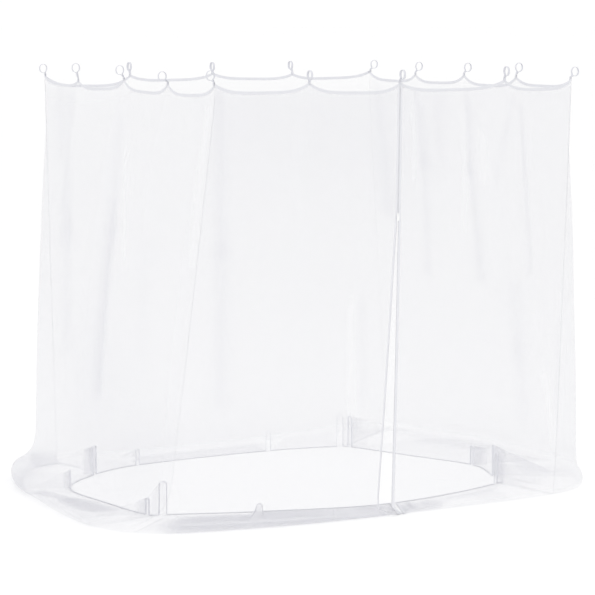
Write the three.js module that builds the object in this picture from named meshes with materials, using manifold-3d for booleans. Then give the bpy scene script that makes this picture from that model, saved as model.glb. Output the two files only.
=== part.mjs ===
// Gazebo mosquito net: an open-topped box of fine netting that hangs by tape loops.
// Four walls of one width are sewn together at the corners and their top edge is bound with folded tape.
// Their lower edge is turned in over the floor, where the spare cloth of the hem stands up as hairpin
// pleats. A zip parts the front wall. Millimetres, +Z up. The origin is the centre of the top edge.
import * as THREE from 'three';
import { mergeVertices } from 'three/addons/utils/BufferGeometryUtils.js';
import Module from 'manifold-3d';

const wasm = await Module();
wasm.setup();

// The whole net as it hangs.
const TOP_WIDTH = 2200; // between the corner loops, both ways
const HUNG_HEIGHT = 2300; // from the feet of the loops down to the floor
const PANEL_WIDTH = 2500; // flat width of one wall
const PIECE_GAP = 0.3; // between neighbouring pieces

// Netting.
const NET_THICKNESS = 1.2;
const BEND_RADIUS = 26; // where most of a wall turns in over the floor
const BEND_LEAD = 0.7; // angle by which the bend begins above its widest point
const FLAP_REST = 3; // height of the turned-in cloth above the floor
const SCALLOP_POWER = 4; // how flat the top edge hangs between two loops
const TOP_EASE = 0.05; // share of the drop in which a wall leaves the plumb line
const FLARE_POWER = 45; // how late the lower edge of a wall spreads
const PLEAT_CROWN = 0.3; // rise of a pleat's rounded top for its width
const FOLD_GROWS = 0.12; // share of the drop in which a long fold comes up
const FOLD_FADES = 0.3; // share of the drop in which it runs out
const CORNER_EASE = 0.04; // share of a wall's width that its corner seam holds flat

// Tapes.
const TAPE_THICKNESS = 1.2;
const TOP_TAPE_DEPTH = 15;
const HEM_TAPE_DEPTH = 9;
const BINDING_ROOM = 0.8; // between the netting and the tape folded over it
const TOP_EDGE_ROOM = 1; // between the top edge of the netting and the fold of its tape
const HEM_EDGE_ROOM = 2; // the same at the hem, whose tape turns sharply over the pleats

// Hanging loops, bent from tape and sewn astride the top binding.
const LOOP_TAPE_WIDTH = 14;
const LOOP_TAPE_THICKNESS = 2.2;
const LOOP_RADIUS = 24;
const LOOP_STRETCH = 1.1; // height of the ring for its width
const LOOP_NECK_HEIGHT = 6;
const LOOP_NECK_SPREAD = 0.2; // half angle of the ring's opening at the neck
const LOOP_LEG_LENGTH = 11;
const LOOP_FACETS = 12;
const LOOP_LEG_ROOM = 0.5; // between the top binding and the legs astride it
const CORNER_INSET = 12; // from a corner to the middle of its loop
const CORNER_CLEAR = 1.5; // from a corner to where its loop is seated on the tape

// Zip in the front wall.
const ZIP_ALONG = 0.5; // share of the front wall's width
const ZIP_TAPE_WIDTH = 16;
const ZIP_SEAM_ROOM = 1.6; // between a tape's edge and its seam line
const ZIP_LEFT_SHARE = 0.8; // part of the opening that the left half gives
const ZIP_PULL_IN = 500; // width of cloth that the opening draws aside
const ZIP_SETTLES = 0.1; // share of the drop in which the two halves find their places
const ZIP_WIDEST = 0.97; // share of the drop at which the door stands widest
const SLIDER_DOWN = 0.31; // share of the drop
const SLIDER_LENGTH = 16;
const SLIDER_WIDTH = 15;
const SLIDER_PLATE = 2;
const SLIDER_ROOM = 0.7; // between the tapes and a plate of the slider
const SLIDER_POST = 3;
const SLIDER_POST_LENGTH = 9.6;
const BAIL_REACH = 5;
const BAIL_WIDTH = 2.4;
const BAIL_LENGTH = 9;
const BAIL_BAR = 1.6;
const PULL_WIDTH = 16;
const PULL_LENGTH = 32;
const PULL_THICKNESS = 1.4;
const PULL_BAR = 2;

// Walls run round the net, seen from above against the clock, from the corner nearest the viewer.
const FRONT = 0;
const RIGHT = 1;
const BACK = 2;
const LEFT = 3;
const WALLS = 4;
const FLOOR = -HUNG_HEIGHT;

// How far each wall bows out half way down, how soon it does, and the share of the drop from which it starts
// below the top tape.
const WALL_BOW = [10, 70, 20, 55];
const BOW_POWER = 0.75;
const BOW_FROM = 0.012;

// Loops: place on the wall, how far the edge hangs lower there and how deep it sags before the next loop,
// the side of the corner on which the loop is sewn, how far its ring leans out and how high it stands.
const LOOPS = [
  { name: 'loop_corner_near', wall: FRONT, along: 0, drop: 0, sag: 44, sewn: -1, lean: 20, rise: 40 },
  { name: 'loop_front_1', wall: FRONT, along: 0.25, drop: 0, sag: 48, sewn: 0, lean: 6, rise: 34 },
  { name: 'loop_front_2', wall: FRONT, along: 0.5, drop: 8, sag: 40, sewn: 0, lean: 26, rise: 40 },
  { name: 'loop_front_3', wall: FRONT, along: 0.8, drop: 0, sag: 50, sewn: 0, lean: 20, rise: 43 },
  { name: 'loop_corner_right', wall: RIGHT, along: 0, drop: 0, sag: 42, sewn: 1, lean: 30, rise: 36 },
  { name: 'loop_right_1', wall: RIGHT, along: 0.25, drop: 0, sag: 52, sewn: 0, lean: 20, rise: 48 },
  { name: 'loop_right_2', wall: RIGHT, along: 0.5, drop: 0, sag: 46, sewn: 0, lean: 27, rise: 38 },
  { name: 'loop_right_3', wall: RIGHT, along: 0.75, drop: 8, sag: 46, sewn: 0, lean: 27, rise: 42 },
  { name: 'loop_corner_far', wall: BACK, along: 0, drop: 0, sag: 32, sewn: -1, lean: 28, rise: 38 },
  { name: 'loop_back_1', wall: BACK, along: 0.25, drop: 10, sag: 30, sewn: 0, lean: 24, rise: 46 },
  { name: 'loop_back_2', wall: BACK, along: 0.5, drop: 0, sag: 32, sewn: 0, lean: 4, rise: 34 },
  { name: 'loop_back_3', wall: BACK, along: 0.75, drop: 6, sag: 60, sewn: 0, lean: 11, rise: 45 },
  { name: 'loop_corner_left', wall: LEFT, along: 0, drop: 0, sag: 35, sewn: 1, lean: 13, rise: 35 },
  { name: 'loop_left_1', wall: LEFT, along: 0.22, drop: 20, sag: 46, sewn: 0, lean: 14, rise: 66 },
  { name: 'loop_left_2', wall: LEFT, along: 0.5, drop: 0, sag: 53, sewn: 0, lean: 24, rise: 46 },
  { name: 'loop_left_3', wall: LEFT, along: 0.75, drop: 12, sag: 54, sewn: 0, lean: 32, rise: 36 },
];

// Line on the floor where the walls turn in: place on the cloth, point on the floor, the share of the way
// out that the wall has gone before its lower edge spreads, and the radius of its bend.
const FLOOR_LINE = [
  { wall: FRONT, along: 0, x: -1540, y: -1030, hung: 0.6, bend: BEND_RADIUS },
  { wall: FRONT, along: 0.06, x: -1410, y: -1135, hung: 0.6, bend: BEND_RADIUS },
  { wall: FRONT, along: 0.27, x: -775, y: -1250, hung: 0.7, bend: BEND_RADIUS },
  { wall: FRONT, along: 0.5, x: -108, y: -1265, hung: 0.95, bend: BEND_RADIUS },
  { wall: FRONT, along: 0.78, x: 535, y: -1240, hung: 0.7, bend: BEND_RADIUS },
  { wall: RIGHT, along: 0, x: 950, y: -1195, hung: 0.9, bend: BEND_RADIUS },
  { wall: RIGHT, along: 0.1, x: 1200, y: -1090, hung: 0.86, bend: BEND_RADIUS },
  { wall: RIGHT, along: 0.31, x: 1500, y: -630, hung: 0.9, bend: BEND_RADIUS },
  { wall: RIGHT, along: 0.44, x: 1600, y: -320, hung: 0.86, bend: BEND_RADIUS },
  { wall: RIGHT, along: 0.7, x: 1575, y: 370, hung: 0.7, bend: BEND_RADIUS },
  { wall: RIGHT, along: 0.9, x: 1460, y: 860, hung: 0.75, bend: BEND_RADIUS },
  { wall: BACK, along: 0, x: 1340, y: 1225, hung: 0.8, bend: BEND_RADIUS },
  { wall: BACK, along: 0.16, x: 980, y: 1310, hung: 0.8, bend: BEND_RADIUS },
  { wall: BACK, along: 0.35, x: 520, y: 1210, hung: 0.8, bend: BEND_RADIUS },
  { wall: BACK, along: 0.55, x: 50, y: 1140, hung: 0.8, bend: BEND_RADIUS },
  { wall: BACK, along: 0.77, x: -510, y: 1105, hung: 0.8, bend: BEND_RADIUS },
  { wall: LEFT, along: 0, x: -1060, y: 1085, hung: 0.9, bend: 40 },
  { wall: LEFT, along: 0.14, x: -1370, y: 920, hung: 0.66, bend: 50 },
  { wall: LEFT, along: 0.3, x: -1580, y: 500, hung: 0.6, bend: 55 },
  { wall: LEFT, along: 0.53, x: -1650, y: 10, hung: 0.5, bend: 45 },
  { wall: LEFT, along: 0.8, x: -1690, y: -650, hung: 0.5, bend: 30 },
  { wall: LEFT, along: 0.92, x: -1600, y: -955, hung: 0.55, bend: BEND_RADIUS },
];

// Line of the hem on the floor: place on the part of the hem that lies down, and point on the floor.
const HEM_LINE = [
  { wall: FRONT, along: 0, x: -1140, y: -662 },
  { wall: FRONT, along: 0.235, x: -694, y: -818 },
  { wall: FRONT, along: 0.555, x: -2, y: -958 },
  { wall: RIGHT, along: 0, x: 895, y: -725 },
  { wall: RIGHT, along: 0.15, x: 985, y: -502 },
  { wall: RIGHT, along: 0.35, x: 1067, y: -193 },
  { wall: RIGHT, along: 0.655, x: 914, y: 260 },
  { wall: RIGHT, along: 0.95, x: 758, y: 680 },
  { wall: BACK, along: 0, x: 724, y: 752 },
  { wall: BACK, along: 0.27, x: 240, y: 832 },
  { wall: BACK, along: 0.8, x: -680, y: 768 },
  { wall: LEFT, along: 0, x: -990, y: 630 },
  { wall: LEFT, along: 0.32, x: -1316, y: 285 },
  { wall: LEFT, along: 0.66, x: -1310, y: -225 },
  { wall: LEFT, along: 0.94, x: -1248, y: -626 },
];

// Hairpin pleats of the hem: place on the part of the hem that lies down, height, and width at the top.
const PLEATS = [
  { wall: FRONT, along: 0.232, height: 32, gap: 34 },
  { wall: FRONT, along: 0.985, height: 172, gap: 30 },
  { wall: RIGHT, along: 0.13, height: 172, gap: 26 },
  { wall: RIGHT, along: 0.36, height: 105, gap: 26 },
  { wall: RIGHT, along: 0.985, height: 180, gap: 26 },
  { wall: BACK, along: 0.006, height: 188, gap: 38 },
  { wall: BACK, along: 0.255, height: 115, gap: 30 },
  { wall: BACK, along: 0.79, height: 90, gap: 22 },
  { wall: LEFT, along: 0.015, height: 160, gap: 32 },
  { wall: LEFT, along: 0.325, height: 100, gap: 26 },
  { wall: LEFT, along: 0.945, height: 82, gap: 26 },
  { wall: LEFT, along: 0.985, height: 172, gap: 27 },
];

// Long folds of the walls: place at the top and at the foot, the stretch of the drop that the fold takes,
// how far it stands out (or in, if negative), and its half width as a share of the wall.
const FOLDS = [
  { wall: FRONT, top: 0.25, foot: 0.2, from: 0.01, to: 0.6, depth: 18, width: 0.03 },
  { wall: FRONT, top: 0.62, foot: 0.66, from: 0.02, to: 0.9, depth: -20, width: 0.05 },
  { wall: FRONT, top: 0.8, foot: 0.76, from: 0.01, to: 0.65, depth: 26, width: 0.025 },
  { wall: FRONT, top: 0.81, foot: 0.9, from: 0.01, to: 0.7, depth: 24, width: 0.025 },
  { wall: FRONT, top: 0.9, foot: 0.85, from: 0.4, to: 0.97, depth: -30, width: 0.06 },
  { wall: RIGHT, top: 0.25, foot: 0.3, from: 0.01, to: 0.7, depth: 30, width: 0.035 },
  { wall: RIGHT, top: 0.5, foot: 0.44, from: 0.01, to: 0.7, depth: 32, width: 0.035 },
  { wall: RIGHT, top: 0.75, foot: 0.7, from: 0.01, to: 0.65, depth: 26, width: 0.035 },
  { wall: BACK, top: 0.07, foot: 0.05, from: 0.02, to: 0.96, depth: 30, width: 0.04 },
  { wall: BACK, top: 0.25, foot: 0.28, from: 0.01, to: 0.6, depth: 20, width: 0.03 },
  { wall: BACK, top: 0.5, foot: 0.53, from: 0.01, to: 0.9, depth: 22, width: 0.04 },
  { wall: BACK, top: 0.75, foot: 0.72, from: 0.01, to: 0.7, depth: 18, width: 0.03 },
  { wall: LEFT, top: 0.14, foot: 0.1, from: 0.02, to: 0.5, depth: -26, width: 0.06 },
  { wall: LEFT, top: 0.25, foot: 0.27, from: 0.01, to: 0.6, depth: 22, width: 0.03 },
  { wall: LEFT, top: 0.49, foot: 0.55, from: 0.01, to: 0.95, depth: 40, width: 0.04 },
  { wall: LEFT, top: 0.75, foot: 0.73, from: 0.01, to: 0.5, depth: 20, width: 0.03 },
];

const netting = new THREE.MeshStandardMaterial({ color: 0xf3f3f6, roughness: 0.9, metalness: 0 });
const bindingTape = new THREE.MeshStandardMaterial({ color: 0xe2e3e8, roughness: 0.8, metalness: 0 });
const zipTape = new THREE.MeshStandardMaterial({ color: 0xdcdde3, roughness: 0.75, metalness: 0 });
const whitePlastic = new THREE.MeshStandardMaterial({ color: 0xfafafa, roughness: 0.4, metalness: 0 });

const clamp = THREE.MathUtils.clamp;
const lerp = THREE.MathUtils.lerp;
const smoothstep = THREE.MathUtils.smoothstep;

// A place round the net is a wall's number plus the share of its width.
function roundPlace(place) {
  return ((place % WALLS) + WALLS) % WALLS;
}

// A smooth closed line through one column of a table, read at any place round the net.
function roundTheNet(rows, column) {
  const count = rows.length;
  const turn = (i) => WALLS * Math.floor(i / count);
  const row = (i) => rows[((i % count) + count) % count];
  const place = (i) => row(i).wall + row(i).along + turn(i);
  const value = (i) => row(i)[column];
  const slope = (i) => (value(i + 1) - value(i - 1)) / (place(i + 1) - place(i - 1));
  return (at) => {
    const here = roundPlace(at);
    let i = 0;
    while (i + 1 < count && place(i + 1) <= here) i += 1;
    const span = place(i + 1) - place(i);
    const u = (here - place(i)) / span;
    const rise = value(i + 1) - value(i);
    const bendIn = slope(i) * span - rise;
    const bendOut = slope(i + 1) * span - rise;
    return lerp(value(i), value(i + 1), u) + u * (1 - u) * (bendIn * (1 - u) - bendOut * u);
  };
}

const floorX = roundTheNet(FLOOR_LINE, 'x');
const floorY = roundTheNet(FLOOR_LINE, 'y');
const floorHung = roundTheNet(FLOOR_LINE, 'hung');
const floorBend = roundTheNet(FLOOR_LINE, 'bend');
const hemX = roundTheNet(HEM_LINE, 'x');
const hemY = roundTheNet(HEM_LINE, 'y');

// Top edge: a square in plan, scalloped between the loops.
const HALF_TOP = TOP_WIDTH / 2;
const TOP_CORNERS = [
  new THREE.Vector3(-HALF_TOP, -HALF_TOP, 0),
  new THREE.Vector3(HALF_TOP, -HALF_TOP, 0),
  new THREE.Vector3(HALF_TOP, HALF_TOP, 0),
  new THREE.Vector3(-HALF_TOP, HALF_TOP, 0),
];
const WALL_OUT = [
  new THREE.Vector3(0, -1, 0),
  new THREE.Vector3(1, 0, 0),
  new THREE.Vector3(0, 1, 0),
  new THREE.Vector3(-1, 0, 0),
];

function loopPlace(i) {
  const row = LOOPS[i % LOOPS.length];
  return row.wall + row.along + (i >= LOOPS.length ? WALLS : 0);
}

function topDrop(at) {
  const here = roundPlace(at);
  let i = 0;
  while (i + 1 < LOOPS.length && loopPlace(i + 1) <= here) i += 1;
  const span = loopPlace(i + 1) - loopPlace(i);
  const u = (here - loopPlace(i)) / span;
  const next = LOOPS[(i + 1) % LOOPS.length];
  const hanging = 1 - Math.abs(2 * u - 1) ** SCALLOP_POWER;
  return lerp(LOOPS[i].drop, next.drop, u) + LOOPS[i].sag * hanging;
}

function topPoint(at) {
  const here = roundPlace(at);
  const wall = Math.floor(here);
  const point = TOP_CORNERS[wall].clone().lerp(TOP_CORNERS[(wall + 1) % WALLS], here - wall);
  point.z = -topDrop(here);
  return point;
}

// Hem: a line on the floor that runs up and down again over each pleat.
const pleatsOf = [FRONT, RIGHT, BACK, LEFT].map((wall) => {
  const rows = PLEATS.filter((row) => row.wall === wall);
  const lying = PANEL_WIDTH - rows.reduce((sum, row) => sum + 2 * row.height + row.gap, 0);
  let start = 0;
  let lain = 0;
  const pleats = rows.map((row) => {
    start += row.along * lying - lain;
    lain = row.along * lying;
    const pleat = { start, height: row.height, gap: row.gap, taken: 2 * row.height + row.gap };
    start += pleat.taken;
    return pleat;
  });
  const ground = lying + rows.reduce((sum, row) => sum + row.gap, 0);
  return { pleats, ground };
});

function hemPoint(at) {
  const here = roundPlace(at);
  const wall = Math.floor(here);
  const cloth = (here - wall) * PANEL_WIDTH;
  let ground = cloth;
  let lift = 0;
  for (const pleat of pleatsOf[wall].pleats) {
    const past = clamp(cloth - pleat.start, 0, pleat.taken);
    const up = Math.min(past, pleat.height);
    const over = clamp(past - pleat.height, 0, pleat.gap);
    const back = Math.max(past - pleat.height - pleat.gap, 0);
    ground -= up + back;
    lift += up - back + Math.sin((Math.PI * over) / pleat.gap) * pleat.gap * PLEAT_CROWN;
  }
  const place = wall + ground / pleatsOf[wall].ground;
  return new THREE.Vector3(hemX(place), hemY(place), FLOOR + FLAP_REST + lift);
}

// Heights at which the zip begins to part, just above the slider's mouth.
const DROP_TO_BEND = HUNG_HEIGHT - FLAP_REST - BEND_RADIUS * (1 + Math.sin(BEND_LEAD));
const ZIP_PARTING = SLIDER_DOWN - SLIDER_LENGTH / DROP_TO_BEND;
const ZIP_PARTED = SLIDER_DOWN - SLIDER_LENGTH / 2 / DROP_TO_BEND;

// The zip from the top edge to the hem: gap between its tapes, and how far both swing along the wall.
const ZIP_LINE = [
  { down: 0, gap: 1, sway: 0 },
  { down: ZIP_PARTING, gap: 1, sway: -13 },
  { down: ZIP_PARTED, gap: 5, sway: -13 },
  { down: ZIP_WIDEST, gap: 79, sway: -50 },
  { down: 2, gap: 20, sway: 42 },
  { down: 3, gap: 22, sway: 39 },
];

function zipAt(down, column) {
  let i = 0;
  while (i + 2 < ZIP_LINE.length && ZIP_LINE[i + 1].down <= down) i += 1;
  const here = ZIP_LINE[i];
  const next = ZIP_LINE[i + 1];
  return lerp(here[column], next[column], clamp((down - here.down) / (next.down - here.down), 0, 1));
}

// How far the zip moves the cloth of the front wall sideways.
function zipShift(at, down) {
  const away = (at - FRONT - ZIP_ALONG) * PANEL_WIDTH;
  if (Math.abs(away) > ZIP_PULL_IN) return 0;
  const drawn = (1 - Math.abs(away) / ZIP_PULL_IN) ** 2;
  const share = Math.sign(away) * (away < 0 ? ZIP_LEFT_SHARE : 1 - ZIP_LEFT_SHARE);
  const even = 0.5 * Math.sign(away);
  const settled = smoothstep(down, ZIP_PARTED, ZIP_PARTED + ZIP_SETTLES);
  return (zipAt(down, 'gap') * lerp(even, share, settled) + zipAt(down, 'sway')) * drawn;
}

// How far the long folds push the wall out.
function foldOut(at, down) {
  const here = roundPlace(at);
  const wall = Math.floor(here);
  const along = here - wall;
  const clearOfCorners = smoothstep(along, 0, CORNER_EASE) * smoothstep(1 - along, 0, CORNER_EASE);
  const bowed = clamp((down - BOW_FROM) / (1 - BOW_FROM), 0, 1);
  let out = WALL_BOW[wall] * Math.max(Math.sin(Math.PI * bowed), 0) ** BOW_POWER;
  for (const fold of FOLDS) {
    if (fold.wall !== wall) continue;
    const middle = lerp(fold.top, fold.foot, down);
    const across = Math.exp(-(((along - middle) / fold.width) ** 2));
    const grown = smoothstep(down, fold.from, fold.from + FOLD_GROWS);
    const faded = 1 - smoothstep(down, fold.to - FOLD_FADES, fold.to);
    out += fold.depth * across * grown * faded;
  }
  return out * clearOfCorners;
}

// A point of the cloth: down is 0 at the top edge, 1 where the wall ends, 2 where it lies on the floor
// and 3 at the hem.
function clothPoint(at, down) {
  const hem = hemPoint(at);
  const bend = floorBend(at);
  const middle = new THREE.Vector3(floorX(at), floorY(at), FLOOR + FLAP_REST + bend);
  const inward = new THREE.Vector3(hem.x - middle.x, hem.y - middle.y, 0).normalize();
  middle.addScaledVector(inward, bend);
  const point = new THREE.Vector3();
  if (down <= 1) {
    const top = topPoint(at);
    const foot = middle.clone().addScaledVector(inward, -bend * Math.cos(BEND_LEAD));
    foot.z += bend * Math.sin(BEND_LEAD);
    const hung = floorHung(at);
    const eased = (down * down * (1 + TOP_EASE)) / (Math.abs(down) + TOP_EASE);
    const out = hung * eased + (1 - hung) * Math.max(down, 0) ** FLARE_POWER;
    point.lerpVectors(top, foot, out);
    point.z = lerp(top.z, foot.z, down);
    point.addScaledVector(WALL_OUT[Math.floor(roundPlace(at))], foldOut(at, down));
  } else if (down <= 2) {
    const angle = lerp(-BEND_LEAD, Math.PI / 2, down - 1);
    point.copy(middle).addScaledVector(inward, -bend * Math.cos(angle));
    point.z -= bend * Math.sin(angle);
  } else {
    middle.z -= bend;
    point.lerpVectors(middle, hem, down - 2);
  }
  point.x += zipShift(at, down);
  return point;
}

// The cloth's direction outwards, measured without crossing the zip.
const PLACE_STEP = 1.5 / PANEL_WIDTH;
const DOWN_STEP = 0.002;
const ZIP_PLACE = FRONT + ZIP_ALONG;

function clothNormal(at, down) {
  let before = at - PLACE_STEP;
  let after = at + PLACE_STEP;
  if (at < ZIP_PLACE && after >= ZIP_PLACE) after = at;
  if (at > ZIP_PLACE && before <= ZIP_PLACE) before = at;
  const across = clothPoint(after, down).sub(clothPoint(before, down));
  const along = clothPoint(at, down + DOWN_STEP).sub(clothPoint(at, down - DOWN_STEP));
  return along.cross(across).normalize();
}

function offCloth(at, down, out, seam = at) {
  return clothPoint(at, down).addScaledVector(clothNormal(seam, down), out);
}

// A closed body from points and triangles, turned so that its faces point outwards.
function closedBody(points, triangles) {
  let volume = 0;
  for (const [a, b, c] of triangles) {
    volume += points[a].dot(points[b].clone().cross(points[c]));
  }
  const faces = volume < 0 ? triangles.map(([a, b, c]) => [a, c, b]) : triangles;
  const geometry = new THREE.BufferGeometry();
  const values = points.flatMap((point) => point.toArray());
  geometry.setAttribute('position', new THREE.Float32BufferAttribute(values, 3));
  geometry.setIndex(faces.flat());
  geometry.computeVertexNormals();
  return geometry;
}

// Columns of a stretch of cloth: at each loop, evenly between loops, and at the bends of each pleat.
const SCALLOP_STEPS = [0, 0.12, 0.5, 0.88];
const CLEAR_OF_BEND = 40 / PANEL_WIDTH;
const CLEAR_OF_EDGE = 10 / PANEL_WIDTH;

function columns(first, last, firstGap = PIECE_GAP, lastGap = PIECE_GAP) {
  const bends = pleatsOf.flatMap(({ pleats }, wall) => pleats.flatMap((pleat) => [
    pleat.start,
    pleat.start + pleat.height,
    pleat.start + pleat.height + pleat.gap / 2,
    pleat.start + pleat.height + pleat.gap,
    pleat.start + pleat.taken,
  ].map((cloth) => wall + cloth / PANEL_WIDTH)));
  const places = [...bends];
  for (let i = 0; i < LOOPS.length; i += 1) {
    for (const step of SCALLOP_STEPS) {
      const place = lerp(loopPlace(i), loopPlace(i + 1), step);
      const nearBend = bends.some((bend) => Math.abs(bend - place) < CLEAR_OF_BEND);
      if (step === 0 || !nearBend) places.push(place);
    }
  }
  const inside = places.filter((place) => place > first + CLEAR_OF_EDGE && place < last - CLEAR_OF_EDGE);
  return [
    { at: first + firstGap / PANEL_WIDTH, seam: first },
    ...inside.sort((a, b) => a - b).map((place) => ({ at: place, seam: place })),
    { at: last - lastGap / PANEL_WIDTH, seam: last },
  ];
}

// Rows down the cloth, with one at the inner edge of each binding.
const flapLength = (at) => clothPoint(at, 2).distanceTo(clothPoint(at, 3));

const WALL_ROWS = [0.08, 0.18, ZIP_PARTING, ZIP_PARTED, 0.5, 0.7, 0.85, 0.93, ZIP_WIDEST];
const BEND_ROWS = [1.05, 1.35, 1.65, 2];
const FLAP_ROW = 2.5;

function rowsDown(at) {
  const underTopTape = TOP_TAPE_DEPTH / DROP_TO_BEND;
  const underHemTape = 3 - HEM_TAPE_DEPTH / flapLength(at);
  return [0, underTopTape, ...WALL_ROWS, ...BEND_ROWS, FLAP_ROW, underHemTape, 3];
}

// A sheet of cloth over these columns, with the thickness shared between its two sides.
function sheet(places, thickness) {
  const points = [];
  for (const side of [0.5, -0.5]) {
    for (const { at, seam } of places) {
      for (const down of rowsDown(at)) points.push(offCloth(at, down, side * thickness, seam));
    }
  }
  const rows = rowsDown(0).length;
  const half = places.length * rows;
  const front = (column, row) => column * rows + row;
  const back = (column, row) => front(column, row) + half;
  const triangles = [];
  const quad = (a, b, c, d) => triangles.push([a, b, c], [a, c, d]);
  for (let column = 0; column + 1 < places.length; column += 1) {
    const beside = column + 1;
    for (let row = 0; row + 1 < rows; row += 1) {
      quad(front(column, row), front(column, row + 1), front(beside, row + 1), front(beside, row));
      quad(back(column, row), back(beside, row), back(beside, row + 1), back(column, row + 1));
    }
    for (const [row, turned] of [[0, false], [rows - 1, true]]) {
      const near = turned ? beside : column;
      const far = turned ? column : beside;
      quad(front(near, row), front(far, row), back(far, row), back(near, row));
    }
  }
  for (let row = 0; row + 1 < rows; row += 1) {
    for (const [column, turned] of [[0, false], [places.length - 1, true]]) {
      const near = turned ? row : row + 1;
      const far = turned ? row + 1 : row;
      quad(front(column, near), front(column, far), back(column, far), back(column, near));
    }
  }
  return closedBody(points, triangles);
}

// A tape folded over an edge of the cloth: its section is a U, swept along the columns.
function binding(places, edgeDown, depth, edgeRoom, lengthDown) {
  const slot = NET_THICKNESS / 2 + BINDING_ROOM;
  const outside = slot + TAPE_THICKNESS;
  const fold = edgeRoom + TAPE_THICKNESS;
  const section = [
    { out: outside, past: -depth },
    { out: outside, past: fold },
    { out: -outside, past: fold },
    { out: -outside, past: -depth },
    { out: -slot, past: -depth },
    { out: -slot, past: edgeRoom },
    { out: slot, past: edgeRoom },
    { out: slot, past: -depth },
  ];
  const sides = section.length;
  const points = places.flatMap(({ at, seam }) => section.map(({ out, past }) => {
    const point = clothPoint(at, edgeDown + past / lengthDown(at));
    const facing = clothNormal(seam, edgeDown + Math.min(past, 0) / lengthDown(at));
    return point.addScaledVector(facing, out);
  }));
  const triangles = [];
  for (let column = 0; column + 1 < places.length; column += 1) {
    for (let side = 0; side < sides; side += 1) {
      const next = (side + 1) % sides;
      const here = column * sides + side;
      const beside = column * sides + next;
      const length = lengthDown(places[column].at);
      const step = section[next].past - section[side].past;
      const downwards = step === 0 ? length > 0 : step * length > 0;
      if (downwards) triangles.push([here, here + sides, beside + sides], [here, beside + sides, beside]);
      else triangles.push([here, here + sides, beside], [here + sides, beside + sides, beside]);
    }
  }
  const end = (places.length - 1) * sides;
  const endFaces = [[0, 1, 7], [1, 6, 7], [1, 2, 6], [2, 5, 6], [2, 3, 5], [3, 4, 5]];
  for (const [a, b, c] of endFaces) {
    triangles.push([a, b, c], [end + a, end + c, end + b]);
  }
  return closedBody(points, triangles);
}

function piece(name, geometry, material) {
  const mesh = new THREE.Mesh(geometry, material);
  mesh.name = name;
  return mesh;
}

const net = new THREE.Group();

// Net panels. The front wall is in two halves, and each ends at its zip tape.
const zipHalf = ZIP_TAPE_WIDTH / PANEL_WIDTH;
const PANELS = [
  { name: 'front_left', from: FRONT, to: ZIP_PLACE - zipHalf, hemTo: ZIP_PLACE },
  { name: 'front_right', from: ZIP_PLACE + zipHalf, to: RIGHT, hemFrom: ZIP_PLACE },
  { name: 'right', from: RIGHT, to: BACK },
  { name: 'back', from: BACK, to: LEFT },
  { name: 'left', from: LEFT, to: WALLS },
];
for (const { name, from, to } of PANELS) {
  net.add(piece(`wall_${name}`, sheet(columns(from, to), NET_THICKNESS), netting));
}

// Zip tapes, along the edges of the two front halves from the top edge to the hem.
const zipTapes = [
  { name: 'zip_tape_left', places: columns(ZIP_PLACE - zipHalf, ZIP_PLACE, ZIP_SEAM_ROOM, PIECE_GAP) },
  { name: 'zip_tape_right', places: columns(ZIP_PLACE, ZIP_PLACE + zipHalf, PIECE_GAP, ZIP_SEAM_ROOM) },
];
for (const { name, places } of zipTapes) net.add(piece(name, sheet(places, NET_THICKNESS), zipTape));

// Bindings of the top edge, one for each wall, and of the hem, one for each panel.
const topLength = () => -DROP_TO_BEND;
for (const [name, wall] of [['front', FRONT], ['right', RIGHT], ['back', BACK], ['left', LEFT]]) {
  const tape = binding(columns(wall, wall + 1), 0, TOP_TAPE_DEPTH, TOP_EDGE_ROOM, topLength);
  net.add(piece(`top_tape_${name}`, tape, bindingTape));
}
for (const { name, from, to, hemFrom = from, hemTo = to } of PANELS) {
  const tape = binding(columns(hemFrom, hemTo), 3, HEM_TAPE_DEPTH, HEM_EDGE_ROOM, flapLength);
  net.add(piece(`hem_tape_${name}`, tape, bindingTape));
}

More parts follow.
